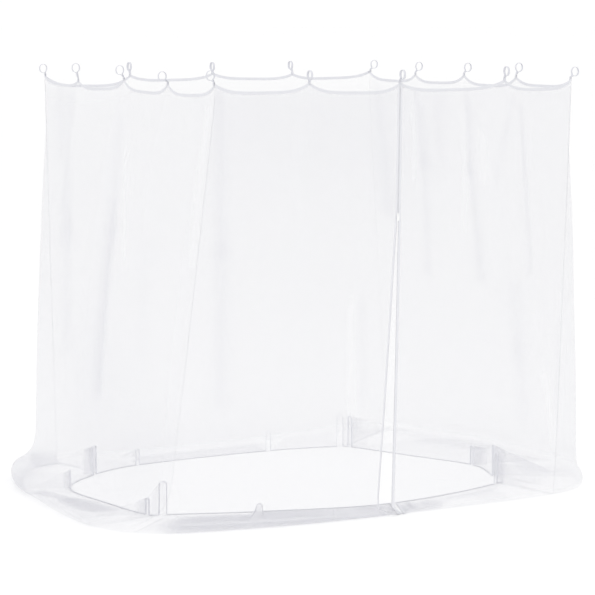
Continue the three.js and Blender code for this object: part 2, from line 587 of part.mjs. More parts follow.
// A hanging loop: a ring of tape on a neck, with its two ends as legs astride the top binding.
function loopGeometry(lean, rise) {
  const tapeOutside = NET_THICKNESS / 2 + BINDING_ROOM + TAPE_THICKNESS;
  const legInside = tapeOutside + LOOP_LEG_ROOM;
  const legOutside = legInside + LOOP_TAPE_THICKNESS;
  const neck = LOOP_TAPE_THICKNESS;
  const towardsFoot = Math.atan2(-rise, -lean);
  const around = (radius, angle) => [
    lean + radius * Math.cos(angle),
    rise + radius * LOOP_STRETCH * Math.sin(angle),
  ];
  const outline = new THREE.Shape();
  outline.moveTo(-legOutside, -LOOP_LEG_LENGTH);
  outline.lineTo(-legOutside, LOOP_TAPE_THICKNESS);
  outline.lineTo(-neck, LOOP_NECK_HEIGHT);
  for (let i = 0; i <= LOOP_FACETS; i += 1) {
    const turned = LOOP_NECK_SPREAD + (i / LOOP_FACETS) * 2 * (Math.PI - LOOP_NECK_SPREAD);
    outline.lineTo(...around(LOOP_RADIUS, towardsFoot - turned));
  }
  outline.lineTo(neck, LOOP_NECK_HEIGHT);
  outline.lineTo(legOutside, LOOP_TAPE_THICKNESS);
  outline.lineTo(legOutside, -LOOP_LEG_LENGTH);
  outline.lineTo(legInside, -LOOP_LEG_LENGTH);
  outline.lineTo(legInside, 0);
  outline.lineTo(-legInside, 0);
  outline.lineTo(-legInside, -LOOP_LEG_LENGTH);
  outline.closePath();
  const hole = new THREE.Path();
  const inside = LOOP_RADIUS - LOOP_TAPE_THICKNESS;
  for (let i = 0; i < LOOP_FACETS; i += 1) {
    const place = around(inside, towardsFoot + (i / LOOP_FACETS) * 2 * Math.PI);
    if (i === 0) hole.moveTo(...place);
    else hole.lineTo(...place);
  }
  hole.closePath();
  outline.holes.push(hole);
  const geometry = new THREE.ExtrudeGeometry(outline, { depth: LOOP_TAPE_WIDTH, bevelEnabled: false });
  geometry.translate(0, 0, -LOOP_TAPE_WIDTH / 2);
  return geometry;
}

for (const { name, wall, along, sewn, lean, rise } of LOOPS) {
  const at = roundPlace(wall + along + (sewn * CORNER_INSET) / PANEL_WIDTH);
  const seated = roundPlace(wall + along + (sewn * CORNER_CLEAR) / PANEL_WIDTH);
  const seat = topPoint(at);
  seat.z = topPoint(seated).z + TOP_EDGE_ROOM + TAPE_THICKNESS + PIECE_GAP;
  const out = WALL_OUT[Math.floor(at)];
  const up = new THREE.Vector3(0, 0, 1);
  const loop = piece(name, loopGeometry(lean, rise), bindingTape);
  loop.quaternion.setFromRotationMatrix(new THREE.Matrix4().makeBasis(out, up, out.clone().cross(up)));
  loop.position.copy(seat);
  net.add(loop);
}

// Zip slider: two plates on a post between the tapes, with a bail on the outer plate. The pull hangs from
// the bail by the bar at the top of its window.
function solidOf(geometry) {
  const bare = geometry.clone();
  bare.deleteAttribute('normal');
  bare.deleteAttribute('uv');
  const merged = mergeVertices(bare);
  return new wasm.Manifold(new wasm.Mesh({
    numProp: 3,
    vertProperties: new Float32Array(merged.attributes.position.array),
    triVerts: new Uint32Array(merged.index.array),
  }));
}

function geometryOf(solid) {
  const mesh = solid.getMesh();
  const geometry = new THREE.BufferGeometry();
  geometry.setAttribute('position', new THREE.BufferAttribute(mesh.vertProperties, 3));
  geometry.setIndex(new THREE.BufferAttribute(mesh.triVerts, 1));
  geometry.computeVertexNormals();
  return geometry;
}

const plateInside = NET_THICKNESS / 2 + SLIDER_ROOM;
const plateOutside = plateInside + SLIDER_PLATE;

function roundedOutline(width, length, radius) {
  const x = width / 2;
  const y = length / 2;
  const shape = new THREE.Shape();
  shape.moveTo(-x + radius, -y);
  shape.lineTo(x - radius, -y);
  shape.absarc(x - radius, -y + radius, radius, -Math.PI / 2, 0, false);
  shape.absarc(x - radius, y - radius, radius, 0, Math.PI / 2, false);
  shape.absarc(-x + radius, y - radius, radius, Math.PI / 2, Math.PI, false);
  shape.absarc(-x + radius, -y + radius, radius, Math.PI, 1.5 * Math.PI, false);
  return shape;
}

function plateOf(shape, thickness) {
  return new THREE.ExtrudeGeometry(shape, { depth: thickness, bevelEnabled: false, curveSegments: 3 });
}

// Local frame of the slider: x across the zip, y up along it, z outwards.
function sliderGeometry() {
  const outline = roundedOutline(SLIDER_WIDTH, SLIDER_LENGTH, SLIDER_WIDTH / 3);
  const outer = plateOf(outline, SLIDER_PLATE).translate(0, 0, plateInside);
  const inner = plateOf(outline, SLIDER_PLATE).translate(0, 0, -plateOutside);
  const post = new THREE.BoxGeometry(SLIDER_POST, SLIDER_POST_LENGTH, 2 * plateInside + SLIDER_PLATE);
  const bailSide = new THREE.Shape();
  bailSide.moveTo(-BAIL_LENGTH / 2, plateInside + SLIDER_PLATE / 2);
  bailSide.lineTo(BAIL_LENGTH / 2, plateInside + SLIDER_PLATE / 2);
  bailSide.lineTo(BAIL_LENGTH / 2, plateOutside + BAIL_REACH - BAIL_BAR);
  bailSide.lineTo(BAIL_LENGTH / 2 - BAIL_BAR, plateOutside + BAIL_REACH);
  bailSide.lineTo(-BAIL_LENGTH / 2 + BAIL_BAR, plateOutside + BAIL_REACH);
  bailSide.lineTo(-BAIL_LENGTH / 2, plateOutside + BAIL_REACH - BAIL_BAR);
  bailSide.closePath();
  const eye = new THREE.Path();
  eye.moveTo(-BAIL_LENGTH / 2 + BAIL_BAR, plateOutside);
  eye.lineTo(-BAIL_LENGTH / 2 + BAIL_BAR, plateOutside + BAIL_REACH - BAIL_BAR);
  eye.lineTo(BAIL_LENGTH / 2 - BAIL_BAR, plateOutside + BAIL_REACH - BAIL_BAR);
  eye.lineTo(BAIL_LENGTH / 2 - BAIL_BAR, plateOutside);
  eye.closePath();
  bailSide.holes.push(eye);
  const bail = new THREE.ExtrudeGeometry(bailSide, { depth: BAIL_WIDTH, bevelEnabled: false });
  bail.applyMatrix4(new THREE.Matrix4().makeBasis(
    new THREE.Vector3(0, 1, 0),
    new THREE.Vector3(0, 0, 1),
    new THREE.Vector3(1, 0, 0),
  ));
  bail.translate(-BAIL_WIDTH / 2, 0, 0);
  return geometryOf(solidOf(outer).add(solidOf(inner)).add(solidOf(post)).add(solidOf(bail)));
}

function pullGeometry() {
  const outline = roundedOutline(PULL_WIDTH, PULL_LENGTH, PULL_WIDTH / 4);
  const window = new THREE.Path();
  const windowTop = PULL_LENGTH / 2 - PULL_BAR;
  const windowHalf = BAIL_WIDTH / 2 + PULL_BAR;
  const windowFoot = windowTop - BAIL_LENGTH / 2 - PULL_BAR;
  window.moveTo(-windowHalf, windowFoot);
  window.lineTo(-windowHalf, windowTop);
  window.lineTo(windowHalf, windowTop);
  window.lineTo(windowHalf, windowFoot);
  window.closePath();
  outline.holes.push(window);
  const hangs = -BAIL_LENGTH / 2 + BAIL_BAR + PIECE_GAP + PULL_BAR - PULL_LENGTH / 2;
  const off = plateOutside + (BAIL_REACH - BAIL_BAR - PULL_THICKNESS) / 2;
  return plateOf(outline, PULL_THICKNESS).translate(0, hangs, off);
}

const zipFrame = new THREE.Group();
const zipOut = clothNormal(ZIP_PLACE, SLIDER_DOWN);
const aboveSlider = clothPoint(ZIP_PLACE, SLIDER_DOWN - DOWN_STEP);
const zipUp = aboveSlider.sub(clothPoint(ZIP_PLACE, SLIDER_DOWN + DOWN_STEP)).normalize();
const zipAcross = zipUp.clone().cross(zipOut);
zipFrame.quaternion.setFromRotationMatrix(new THREE.Matrix4().makeBasis(zipAcross, zipUp, zipOut));
zipFrame.position.copy(clothPoint(ZIP_PLACE, SLIDER_DOWN));
zipFrame.add(piece('zip_slider', sliderGeometry(), whitePlastic));
zipFrame.add(piece('zip_pull', pullGeometry(), whitePlastic));
net.add(zipFrame);

export default net;
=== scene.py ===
"""Gazebo mosquito net: an open-topped box of sheer netting that hangs by tape loops, with a zipped front
and a lower edge turned in over the floor. Metres, +Z up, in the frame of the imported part."""
import math

import bmesh
import bpy
import numpy as np
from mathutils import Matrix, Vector


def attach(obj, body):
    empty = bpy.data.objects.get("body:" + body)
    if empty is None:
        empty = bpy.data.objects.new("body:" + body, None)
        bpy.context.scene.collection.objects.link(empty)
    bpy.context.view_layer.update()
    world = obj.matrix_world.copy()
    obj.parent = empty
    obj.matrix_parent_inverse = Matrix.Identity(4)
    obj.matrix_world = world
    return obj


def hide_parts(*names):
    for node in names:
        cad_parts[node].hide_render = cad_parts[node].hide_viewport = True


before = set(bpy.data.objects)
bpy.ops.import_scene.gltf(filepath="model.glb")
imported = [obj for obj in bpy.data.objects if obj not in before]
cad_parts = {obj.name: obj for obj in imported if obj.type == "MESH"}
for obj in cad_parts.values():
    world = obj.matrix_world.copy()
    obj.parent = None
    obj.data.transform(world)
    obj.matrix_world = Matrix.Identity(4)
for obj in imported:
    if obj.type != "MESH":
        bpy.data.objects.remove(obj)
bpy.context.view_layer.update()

# Studio. A pale floor under a white sky, with one broad soft light high over the near side, so that the net
# stands out only by its own thin layers.
FLOOR = -2.3
FLOOR_REACH = 400.0
FLOOR_BELOW = 0.0005
PAPER_GRAIN = 3.0
PAPER_DARK = (0.983, 0.983, 0.983)
PAPER_PALE = (0.990, 0.990, 0.990)
LAYERS_SEEN_THROUGH = 40
SKY_WHITE = (1.0, 1.0, 1.0, 1.0)
SKY_STRENGTH = 1.02
CAMERA_PLACE = (-6.959, -12.657, 0.359)
CAMERA_DOWN = 6.404
CAMERA_TURN = -28.743
CAMERA_LENS = 153.45
CAMERA_FILM = 36.0
CAMERA_REACH = 1000.0
LIGHT_PLACE = Vector((-3.0, -3.5, 6.5))
LIGHT_AIM = Vector((0.0, 0.0, -2.0))
LIGHT_WIDTH = 6.0
LIGHT_POWER = 70.0
studio = bpy.context.scene
studio.view_settings.view_transform = "Standard"
studio.cycles.transparent_max_bounces = LAYERS_SEEN_THROUGH

sky = bpy.data.worlds.new("white_sky")
sky.use_nodes = True
sky.node_tree.nodes["Background"].inputs["Color"].default_value = SKY_WHITE
sky.node_tree.nodes["Background"].inputs["Strength"].default_value = SKY_STRENGTH
studio.world = sky

camera_lens = bpy.data.cameras.new("camera")
camera_lens.lens = CAMERA_LENS
camera_lens.sensor_width = CAMERA_FILM
camera_lens.clip_end = CAMERA_REACH
camera = bpy.data.objects.new("camera", camera_lens)
camera.location = CAMERA_PLACE
camera.rotation_euler = (math.radians(90 - CAMERA_DOWN), 0.0, math.radians(CAMERA_TURN))
studio.collection.objects.link(camera)
studio.camera = camera

soft_light = bpy.data.lights.new("soft_light", "AREA")
soft_light.shape = "DISK"
soft_light.size = LIGHT_WIDTH
soft_light.energy = LIGHT_POWER
soft_lamp = bpy.data.objects.new("soft_light", soft_light)
soft_lamp.location = LIGHT_PLACE
soft_lamp.rotation_euler = (LIGHT_AIM - LIGHT_PLACE).to_track_quat("-Z", "Y").to_euler()
studio.collection.objects.link(soft_lamp)

floor_corners = [(x * FLOOR_REACH, y * FLOOR_REACH, FLOOR - FLOOR_BELOW)
                 for x, y in ((-1, -1), (1, -1), (1, 1), (-1, 1))]
floor_mesh = bpy.data.meshes.new("floor")
floor_mesh.from_pydata(floor_corners, [], [(0, 1, 2, 3)])
floor = bpy.data.objects.new("floor", floor_mesh)
studio.collection.objects.link(floor)


class Shade:
    """A socket in a tree of nodes. Arithmetic on it adds Math nodes, and node() adds any other."""

    MIX_DARK, MIX_PALE, MIXED = 6, 7, 2  # the colour sockets of a Mix node

    def __init__(self, tree, socket=None):
        self.tree = tree
        self.socket = socket

    def node(self, kind, sockets=None, out=0, **settings):
        made = self.tree.nodes.new(kind)
        for key, value in settings.items():
            setattr(made, key, value)
        for key, value in (sockets or {}).items():
            if isinstance(value, Shade):
                self.tree.links.new(value.socket, made.inputs[key])
            else:
                made.inputs[key].default_value = value
        return Shade(self.tree, made.outputs[out])

    def math(self, operation, a, b=0.0, clamp=False):
        return self.node("ShaderNodeMath", {0: a, 1: b}, operation=operation, use_clamp=clamp)

    def between(self, share, dark, pale):
        """A colour that share of the way from a dark one to a pale one."""
        sockets = {"Factor": share, self.MIX_DARK: (*dark, 1.0), self.MIX_PALE: (*pale, 1.0)}
        return self.node("ShaderNodeMix", sockets, out=self.MIXED, data_type="RGBA")

    def __add__(self, other):
        return self.math("ADD", self, other)

    def __radd__(self, other):
        return self.math("ADD", other, self)

    def __sub__(self, other):
        return self.math("SUBTRACT", self, other)

    def __rsub__(self, other):
        return self.math("SUBTRACT", other, self)

    def __mul__(self, other):
        return self.math("MULTIPLY", self, other)

    def __rmul__(self, other):
        return self.math("MULTIPLY", other, self)

    def __truediv__(self, other):
        return self.math("DIVIDE", self, other)

    def feeds(self, shader, name):
        self.tree.links.new(self.socket, shader.inputs[name])


def new_finish(name, roughness, **fixed):
    """A material, its shader and the start of its nodes."""
    finish = bpy.data.materials.new(name)
    finish.use_nodes = True
    shader = finish.node_tree.nodes["Principled BSDF"]
    shader.inputs["Roughness"].default_value = roughness
    for socket, value in fixed.items():
        shader.inputs[socket.replace("_", " ")].default_value = value
    return finish, shader, Shade(finish.node_tree)


def grained_finish(name, grain_scale, dark, pale, **fixed):
    """A material whose colour wanders between two tones in a fine grain."""
    finish, shader, start = new_finish(name, **fixed)
    place = start.node("ShaderNodeTexCoord", out="Object")
    grain = start.node("ShaderNodeTexNoise", {"Vector": place, "Scale": grain_scale})
    start.between(grain, dark, pale).feeds(shader, "Base Color")
    return finish


floor_mesh.materials.append(grained_finish("white_paper_floor", PAPER_GRAIN, PAPER_DARK, PAPER_PALE,
                                           roughness=0.9, Specular_IOR_Level=0.1))

# Net panels. Four lengths of fine warp-knitted polyester net, sewn together at the corners with narrow
# turned-in seams and, at the front, to the zip. The walls hang from the loops and their lower part lies
# turned in on the floor, where the spare width of the hem stands up in hairpin pleats.
TOP_WIDTH = 2.2
PANEL_WIDTH = 2.5
BEND_RADIUS = 0.026
BEND_LEAD = 0.7
FLAP_REST = 0.003
SCALLOP_POWER = 4
TOP_EASE = 0.05
FLARE_POWER = 45
PLEAT_CROWN = 0.3
FOLD_GROWS = 0.12
FOLD_FADES = 0.3
CORNER_EASE = 0.04
PIECE_GAP = 0.0003
EDGE_INSET = PIECE_GAP / PANEL_WIDTH
FRONT, RIGHT, BACK, LEFT, WALLS = 0, 1, 2, 3, 4
WALL_BOW = np.array([0.010, 0.070, 0.020, 0.055])
BOW_POWER = 0.75
BOW_FROM = 0.012
WALL_OUT = np.array([(0, -1, 0), (1, 0, 0), (0, 1, 0), (-1, 0, 0)], float)
UP = np.array([0, 0, 1.0])
TOP_CORNERS = np.array([(-1, -1, 0), (1, -1, 0), (1, 1, 0), (-1, 1, 0)], float) * TOP_WIDTH / 2

# Loops: name, wall, place along it, how much lower the edge hangs there, sag to the next loop, side of the
# corner on which it is sewn, how far its ring leans out and how high its middle stands.
LOOPS = [
    ("corner_near", FRONT, 0.0, 0.0, 0.044, -1, 0.020, 0.040),
    ("front_1", FRONT, 0.25, 0.0, 0.048, 0, 0.006, 0.034),
    ("front_2", FRONT, 0.5, 0.008, 0.040, 0, 0.026, 0.040),
    ("front_3", FRONT, 0.8, 0.0, 0.050, 0, 0.020, 0.043),
    ("corner_right", RIGHT, 0.0, 0.0, 0.042, 1, 0.030, 0.036),
    ("right_1", RIGHT, 0.25, 0.0, 0.052, 0, 0.020, 0.048),
    ("right_2", RIGHT, 0.5, 0.0, 0.046, 0, 0.027, 0.038),
    ("right_3", RIGHT, 0.75, 0.008, 0.046, 0, 0.027, 0.042),
    ("corner_far", BACK, 0.0, 0.0, 0.032, -1, 0.028, 0.038),
    ("back_1", BACK, 0.25, 0.010, 0.030, 0, 0.024, 0.046),
    ("back_2", BACK, 0.5, 0.0, 0.032, 0, 0.004, 0.034),
    ("back_3", BACK, 0.75, 0.006, 0.060, 0, 0.011, 0.045),
    ("corner_left", LEFT, 0.0, 0.0, 0.035, 1, 0.013, 0.035),
    ("left_1", LEFT, 0.22, 0.020, 0.046, 0, 0.014, 0.066),
    ("left_2", LEFT, 0.5, 0.0, 0.053, 0, 0.024, 0.046),
    ("left_3", LEFT, 0.75, 0.012, 0.054, 0, 0.032, 0.036),
]

# Line on the floor where the walls turn in: wall, place along it, x, y, the share of the way out that the
# wall has gone before its lower edge spreads, and the radius of its bend.
FLOOR_LINE = [
    (FRONT, 0.0, -1.540, -1.030, 0.6, BEND_RADIUS),
    (FRONT, 0.06, -1.410, -1.135, 0.6, BEND_RADIUS),
    (FRONT, 0.27, -0.775, -1.250, 0.7, BEND_RADIUS),
    (FRONT, 0.5, -0.108, -1.265, 0.95, BEND_RADIUS),
    (FRONT, 0.78, 0.535, -1.240, 0.7, BEND_RADIUS),
    (RIGHT, 0.0, 0.950, -1.195, 0.9, BEND_RADIUS),
    (RIGHT, 0.1, 1.200, -1.090, 0.86, BEND_RADIUS),
    (RIGHT, 0.31, 1.500, -0.630, 0.9, BEND_RADIUS),
    (RIGHT, 0.44, 1.600, -0.320, 0.86, BEND_RADIUS),
    (RIGHT, 0.7, 1.575, 0.370, 0.7, BEND_RADIUS),
    (RIGHT, 0.9, 1.460, 0.860, 0.75, BEND_RADIUS),
    (BACK, 0.0, 1.340, 1.225, 0.8, BEND_RADIUS),
    (BACK, 0.16, 0.980, 1.310, 0.8, BEND_RADIUS),
    (BACK, 0.35, 0.520, 1.210, 0.8, BEND_RADIUS),
    (BACK, 0.55, 0.050, 1.140, 0.8, BEND_RADIUS),
    (BACK, 0.77, -0.510, 1.105, 0.8, BEND_RADIUS),
    (LEFT, 0.0, -1.060, 1.085, 0.9, 0.040),
    (LEFT, 0.14, -1.370, 0.920, 0.66, 0.050),
    (LEFT, 0.3, -1.580, 0.500, 0.6, 0.055),
    (LEFT, 0.53, -1.650, 0.010, 0.5, 0.045),
    (LEFT, 0.8, -1.690, -0.650, 0.5, 0.030),
    (LEFT, 0.92, -1.600, -0.955, 0.55, BEND_RADIUS),
]

# Line of the hem on the floor: wall, place on the part of the hem that lies down, x, y.
HEM_LINE = [
    (FRONT, 0.0, -1.140, -0.662), (FRONT, 0.235, -0.694, -0.818), (FRONT, 0.555, -0.002, -0.958),
    (RIGHT, 0.0, 0.895, -0.725), (RIGHT, 0.15, 0.985, -0.502), (RIGHT, 0.35, 1.067, -0.193),
    (RIGHT, 0.655, 0.914, 0.260), (RIGHT, 0.95, 0.758, 0.680), (BACK, 0.0, 0.724, 0.752),
    (BACK, 0.27, 0.240, 0.832), (BACK, 0.8, -0.680, 0.768), (LEFT, 0.0, -0.990, 0.630),
    (LEFT, 0.32, -1.316, 0.285), (LEFT, 0.66, -1.310, -0.225), (LEFT, 0.94, -1.248, -0.626),
]

# Hairpin pleats of the hem: wall, place on the part of the hem that lies down, height, width at the top, and
# how much more of the view its doubled cloth covers.
PLEATS = [
    (FRONT, 0.232, 0.032, 0.034, 0.0), (FRONT, 0.985, 0.172, 0.030, 0.14),
    (RIGHT, 0.13, 0.172, 0.026, 0.14), (RIGHT, 0.36, 0.105, 0.026, 0.18),
    (RIGHT, 0.985, 0.180, 0.026, 0.05), (BACK, 0.006, 0.188, 0.038, 0.0), (BACK, 0.255, 0.115, 0.030, 0.0),
    (BACK, 0.79, 0.090, 0.022, 0.08), (LEFT, 0.015, 0.160, 0.032, 0.26), (LEFT, 0.325, 0.100, 0.026, 0.12),
    (LEFT, 0.945, 0.082, 0.026, 0.08), (LEFT, 0.985, 0.172, 0.027, 0.05),
]

# Long folds of the walls: wall, place at the top and at the foot, the stretch of the drop that it takes,
# how far it stands out, and its half width as a share of the wall.
FOLDS = [
    (FRONT, 0.25, 0.20, 0.01, 0.60, 0.018, 0.030), (FRONT, 0.62, 0.66, 0.02, 0.90, -0.020, 0.050),
    (FRONT, 0.80, 0.76, 0.01, 0.65, 0.026, 0.025), (FRONT, 0.81, 0.90, 0.01, 0.70, 0.024, 0.025),
    (FRONT, 0.90, 0.85, 0.40, 0.97, -0.030, 0.060), (RIGHT, 0.25, 0.30, 0.01, 0.70, 0.030, 0.035),
    (RIGHT, 0.50, 0.44, 0.01, 0.70, 0.032, 0.035), (RIGHT, 0.75, 0.70, 0.01, 0.65, 0.026, 0.035),
    (BACK, 0.07, 0.05, 0.02, 0.96, 0.030, 0.040), (BACK, 0.25, 0.28, 0.01, 0.60, 0.020, 0.030),
    (BACK, 0.50, 0.53, 0.01, 0.90, 0.022, 0.040), (BACK, 0.75, 0.72, 0.01, 0.70, 0.018, 0.030),
    (LEFT, 0.14, 0.10, 0.02, 0.50, -0.026, 0.060), (LEFT, 0.25, 0.27, 0.01, 0.60, 0.022, 0.030),
    (LEFT, 0.49, 0.55, 0.01, 0.95, 0.040, 0.040), (LEFT, 0.75, 0.73, 0.01, 0.50, 0.020, 0.030),
]

# Creases and lying layers: wall, place and share of the drop at one end and at the other, half width in
# metres, how far it stands out or up, and how much more or less of the view the cloth covers there. In the
# crease table that last column is partly painted shade and painted highlight. It darkens the troughs of the
# creases and soft shaded patches, and lightens the ridges and some pale streaks. In part it also stands for
# cloth that a fold doubles.
CREASES_AND_PAINTED_SHADE = [
    (FRONT, 0.012, 0.02, 0.055, 0.37, 0.045, -0.005, 0.13),
    (FRONT, 0.055, 0.37, 0.089, 0.72, 0.050, -0.005, 0.12),
    (FRONT, 0.10, 0.05, 0.50, 0.10, 0.360, 0.0, 0.085),
    (FRONT, 0.825, 0.03, 0.790, 0.13, 0.022, 0.004, 0.10),
    (FRONT, 0.790, 0.13, 0.771, 0.24, 0.024, 0.003, 0.06),
    (FRONT, 0.846, 0.05, 0.857, 0.20, 0.018, 0.005, 0.17),
    (FRONT, 0.857, 0.20, 0.881, 0.45, 0.024, 0.005, 0.13),
    (FRONT, 0.835, 0.50, 0.863, 0.65, 0.065, -0.006, 0.09),
    (FRONT, 0.863, 0.65, 0.881, 0.82, 0.065, -0.006, 0.07),
    (FRONT, 0.945, 0.72, 0.985, 0.90, 0.030, 0.004, -0.06),
    (FRONT, 0.983, 0.60, 0.997, 0.82, 0.025, -0.003, 0.06),
    (RIGHT, 0.965, 0.04, 0.968, 0.38, 0.055, -0.006, 0.12),
    (RIGHT, 0.785, 0.05, 0.853, 0.27, 0.028, 0.005, -0.05),
    (RIGHT, 0.765, 0.05, 0.785, 0.23, 0.040, -0.006, 0.12),
    (RIGHT, 0.785, 0.23, 0.843, 0.53, 0.045, -0.006, 0.11),
    (RIGHT, 0.639, 0.05, 0.695, 0.19, 0.090, -0.005, 0.07),
    (RIGHT, 0.523, 0.043, 0.653, 0.41, 0.045, 0.005, -0.035),
    (RIGHT, 0.513, 0.05, 0.565, 0.24, 0.034, -0.006, 0.17),
    (RIGHT, 0.565, 0.24, 0.607, 0.53, 0.044, -0.006, 0.14),
    (RIGHT, 0.497, 0.157, 0.527, 0.27, 0.040, 0.004, -0.05),
    (BACK, 0.043, 0.65, 0.061, 0.92, 0.035, -0.005, 0.06),
    (BACK, 0.077, 0.65, 0.099, 0.96, 0.040, 0.004, -0.05),
    (LEFT, 0.179, 0.045, 0.30, 0.38, 0.070, -0.006, 0.15),
    (LEFT, 0.30, 0.38, 0.381, 0.66, 0.070, -0.006, 0.10),
    (LEFT, 0.11, 0.03, 0.14, 0.16, 0.090, -0.005, 0.11),
    (LEFT, 0.530, 0.09, 0.565, 0.35, 0.055, -0.006, 0.09),
    (LEFT, 0.565, 0.35, 0.585, 0.75, 0.065, -0.006, 0.12),
    (LEFT, 0.556, 0.28, 0.588, 0.74, 0.032, -0.004, 0.13),
    (LEFT, 0.541, 0.063, 0.663, 0.42, 0.045, 0.006, -0.035),
    (LEFT, 0.769, 0.384, 0.817, 0.62, 0.070, -0.004, 0.045),
    (LEFT, 0.975, 0.04, 0.990, 0.40, 0.024, 0.004, -0.055),
    (LEFT, 0.55, 0.75, 0.85, 0.86, 0.450, 0.0, 0.085), (FRONT, 0.0, 0.03, 0.0, 0.70, 0.004, 0.0, 0.16),
    (FRONT, 0.07, 2.45, 0.30, 2.41, 0.022, 0.006, -0.22),
    (FRONT, 0.30, 2.41, 0.45, 2.25, 0.022, 0.006, -0.18),
    # Painted shade: the first row on the next line lies under the front hem at the right, and the first row
    # on the line after it runs along the foot of the right wall, where it meets the floor.
    (FRONT, 0.66, 2.65, 0.80, 2.70, 0.050, 0.004, 0.08), (RIGHT, 0.10, 2.1, 0.20, 2.2, 0.050, 0.004, -0.06),
    (RIGHT, 0.86, 2.25, 0.66, 2.2, 0.060, 0.005, 0.10), (LEFT, 0.005, 1.7, 0.07, 1.47, 0.040, 0.0, 0.26),
    (LEFT, 0.31, 0.978, 0.40, 0.962, 0.030, 0.0, 0.14), (BACK, 0.0, 0.02, 1.0, 0.02, 0.070, 0.0, -0.05),
    (FRONT, 0.90, 2.30, 0.97, 2.20, 0.150, 0.0, -0.05), (RIGHT, 0.05, 2.30, 0.10, 2.15, 0.120, 0.0, -0.05),
    (LEFT, 0.86, 2.20, 0.99, 2.25, 0.090, 0.0, -0.06), (FRONT, 0.43, 2.80, 0.487, 2.60, 0.022, 0.008, 0.15),
    (FRONT, 0.468, 2.25, 0.490, 2.80, 0.014, 0.008, -0.15),
    (FRONT, 0.512, 2.85, 0.520, 2.30, 0.014, 0.008, -0.20),
    (FRONT, 0.535, 2.88, 0.540, 2.30, 0.014, 0.009, 0.14),
    (FRONT, 0.560, 2.90, 0.565, 2.40, 0.014, 0.007, -0.14), (LEFT, 0.08, 1.5, 0.42, 1.5, 0.060, 0.0, 0.12),
    (LEFT, 0.62, 1.5, 0.80, 1.5, 0.050, 0.0, -0.07), (LEFT, 0.86, 1.3, 1.0, 1.3, 0.060, 0.0, -0.08),
    (FRONT, 0.0, 1.3, 0.04, 1.3, 0.060, 0.0, -0.08), (FRONT, 0.06, 2.97, 0.175, 2.95, 0.045, 0.0, -0.30),
    (FRONT, 0.38, 2.6, 0.49, 2.5, 0.110, 0.0, -0.12), (FRONT, 0.64, 2.35, 0.70, 2.40, 0.080, 0.0, -0.06),
]
LAYERS = [
    (FRONT, 0.105, 2.55, 0.455, 2.45, 0.190, 0.0, 0.37), (FRONT, 0.53, 2.45, 0.585, 2.45, 0.130, 0.0, 0.22),
    (LEFT, 0.42, 2.28, 0.52, 2.55, 0.060, 0.0, 0.18), (LEFT, 0.55, 2.55, 0.65, 2.62, 0.095, 0.0, 0.27),
    (BACK, 0.78, 2.6, 0.47, 2.6, 0.170, 0.0, 0.08), (BACK, 0.03, 2.5, 0.01, 2.2, 0.060, 0.0, 0.06),
    (RIGHT, 0.955, 2.2, 0.945, 2.8, 0.070, 0.0, 0.03), (RIGHT, 0.09, 2.62, 0.16, 2.55, 0.090, 0.0, 0.10),
    (RIGHT, 0.30, 2.3, 0.45, 2.5, 0.090, 0.0, 0.03),
]
CREASE_SOFT = 2
LAYER_SOFT = 4
CLOTH_DOWN = (0.0, 2.245, 2.310, 2.660)
CREASE_EASE = 0.03
LYING_EASE = 0.12


def eased(value, low, high):
    """A smooth step from 0 to 1."""
    share = np.clip((value - low) / (high - low), 0.0, 1.0)
    return share * share * (3 - 2 * share)


def unit(vectors):
    """The same directions with a length of one."""
    return vectors / np.linalg.norm(vectors, axis=-1, keepdims=True)


def wall_place(at):
    """The wall at a place round the net, and the share of the way along it."""
    here = np.mod(at, WALLS)
    wall = np.floor(here).astype(int) % WALLS
    return wall, here - wall


def cloth_length(down):
    """The length of cloth from the top edge."""
    return np.interp(down, range(len(CLOTH_DOWN)), CLOTH_DOWN)


def round_the_net(rows, column):
    """A smooth closed line through one column of a table, read at places round the net."""
    count = len(rows)
    turns = np.arange(-2, count + 3)
    place = np.array([rows[i % count][0] + rows[i % count][1] + WALLS * (i // count) for i in turns])
    value = np.array([rows[i % count][column] for i in turns])

    def read(at):
        here = np.mod(at, WALLS)
        i = np.clip(np.searchsorted(place, here, side="right") - 1, 1, len(place) - 3)
        span = place[i + 1] - place[i]
        u = (here - place[i]) / span
        rise = value[i + 1] - value[i]
        bend_in = (value[i + 1] - value[i - 1]) / (place[i + 1] - place[i - 1]) * span - rise
        bend_out = (value[i + 2] - value[i]) / (place[i + 2] - place[i]) * span - rise
        return value[i] + rise * u + u * (1 - u) * (bend_in * (1 - u) - bend_out * u)

    return read


floor_x = round_the_net(FLOOR_LINE, 2)
floor_y = round_the_net(FLOOR_LINE, 3)
floor_hung = round_the_net(FLOOR_LINE, 4)
floor_bend = round_the_net(FLOOR_LINE, 5)
hem_x = round_the_net(HEM_LINE, 2)
hem_y = round_the_net(HEM_LINE, 3)
loop_places = np.array([row[1] + row[2] for row in LOOPS] + [WALLS])
loop_drops = np.array([row[3] for row in LOOPS] + [LOOPS[0][3]])
loop_sags = np.array([row[4] for row in LOOPS])


def top_point(at):
    """A point of the top edge, which hangs in a scallop between each two loops."""
    here = np.mod(at, WALLS)
    i = np.clip(np.searchsorted(loop_places, here, side="right") - 1, 0, len(LOOPS) - 1)
    u = (here - loop_places[i]) / (loop_places[i + 1] - loop_places[i])
    drop = loop_drops[i] * (1 - u) + loop_drops[i + 1] * u
    drop = drop + loop_sags[i] * (1 - np.abs(2 * u - 1) ** SCALLOP_POWER)
    wall, along = wall_place(at)
    share = along[..., None]
    point = TOP_CORNERS[wall] * (1 - share) + TOP_CORNERS[(wall + 1) % WALLS] * share
    point[..., 2] = -drop
    return point


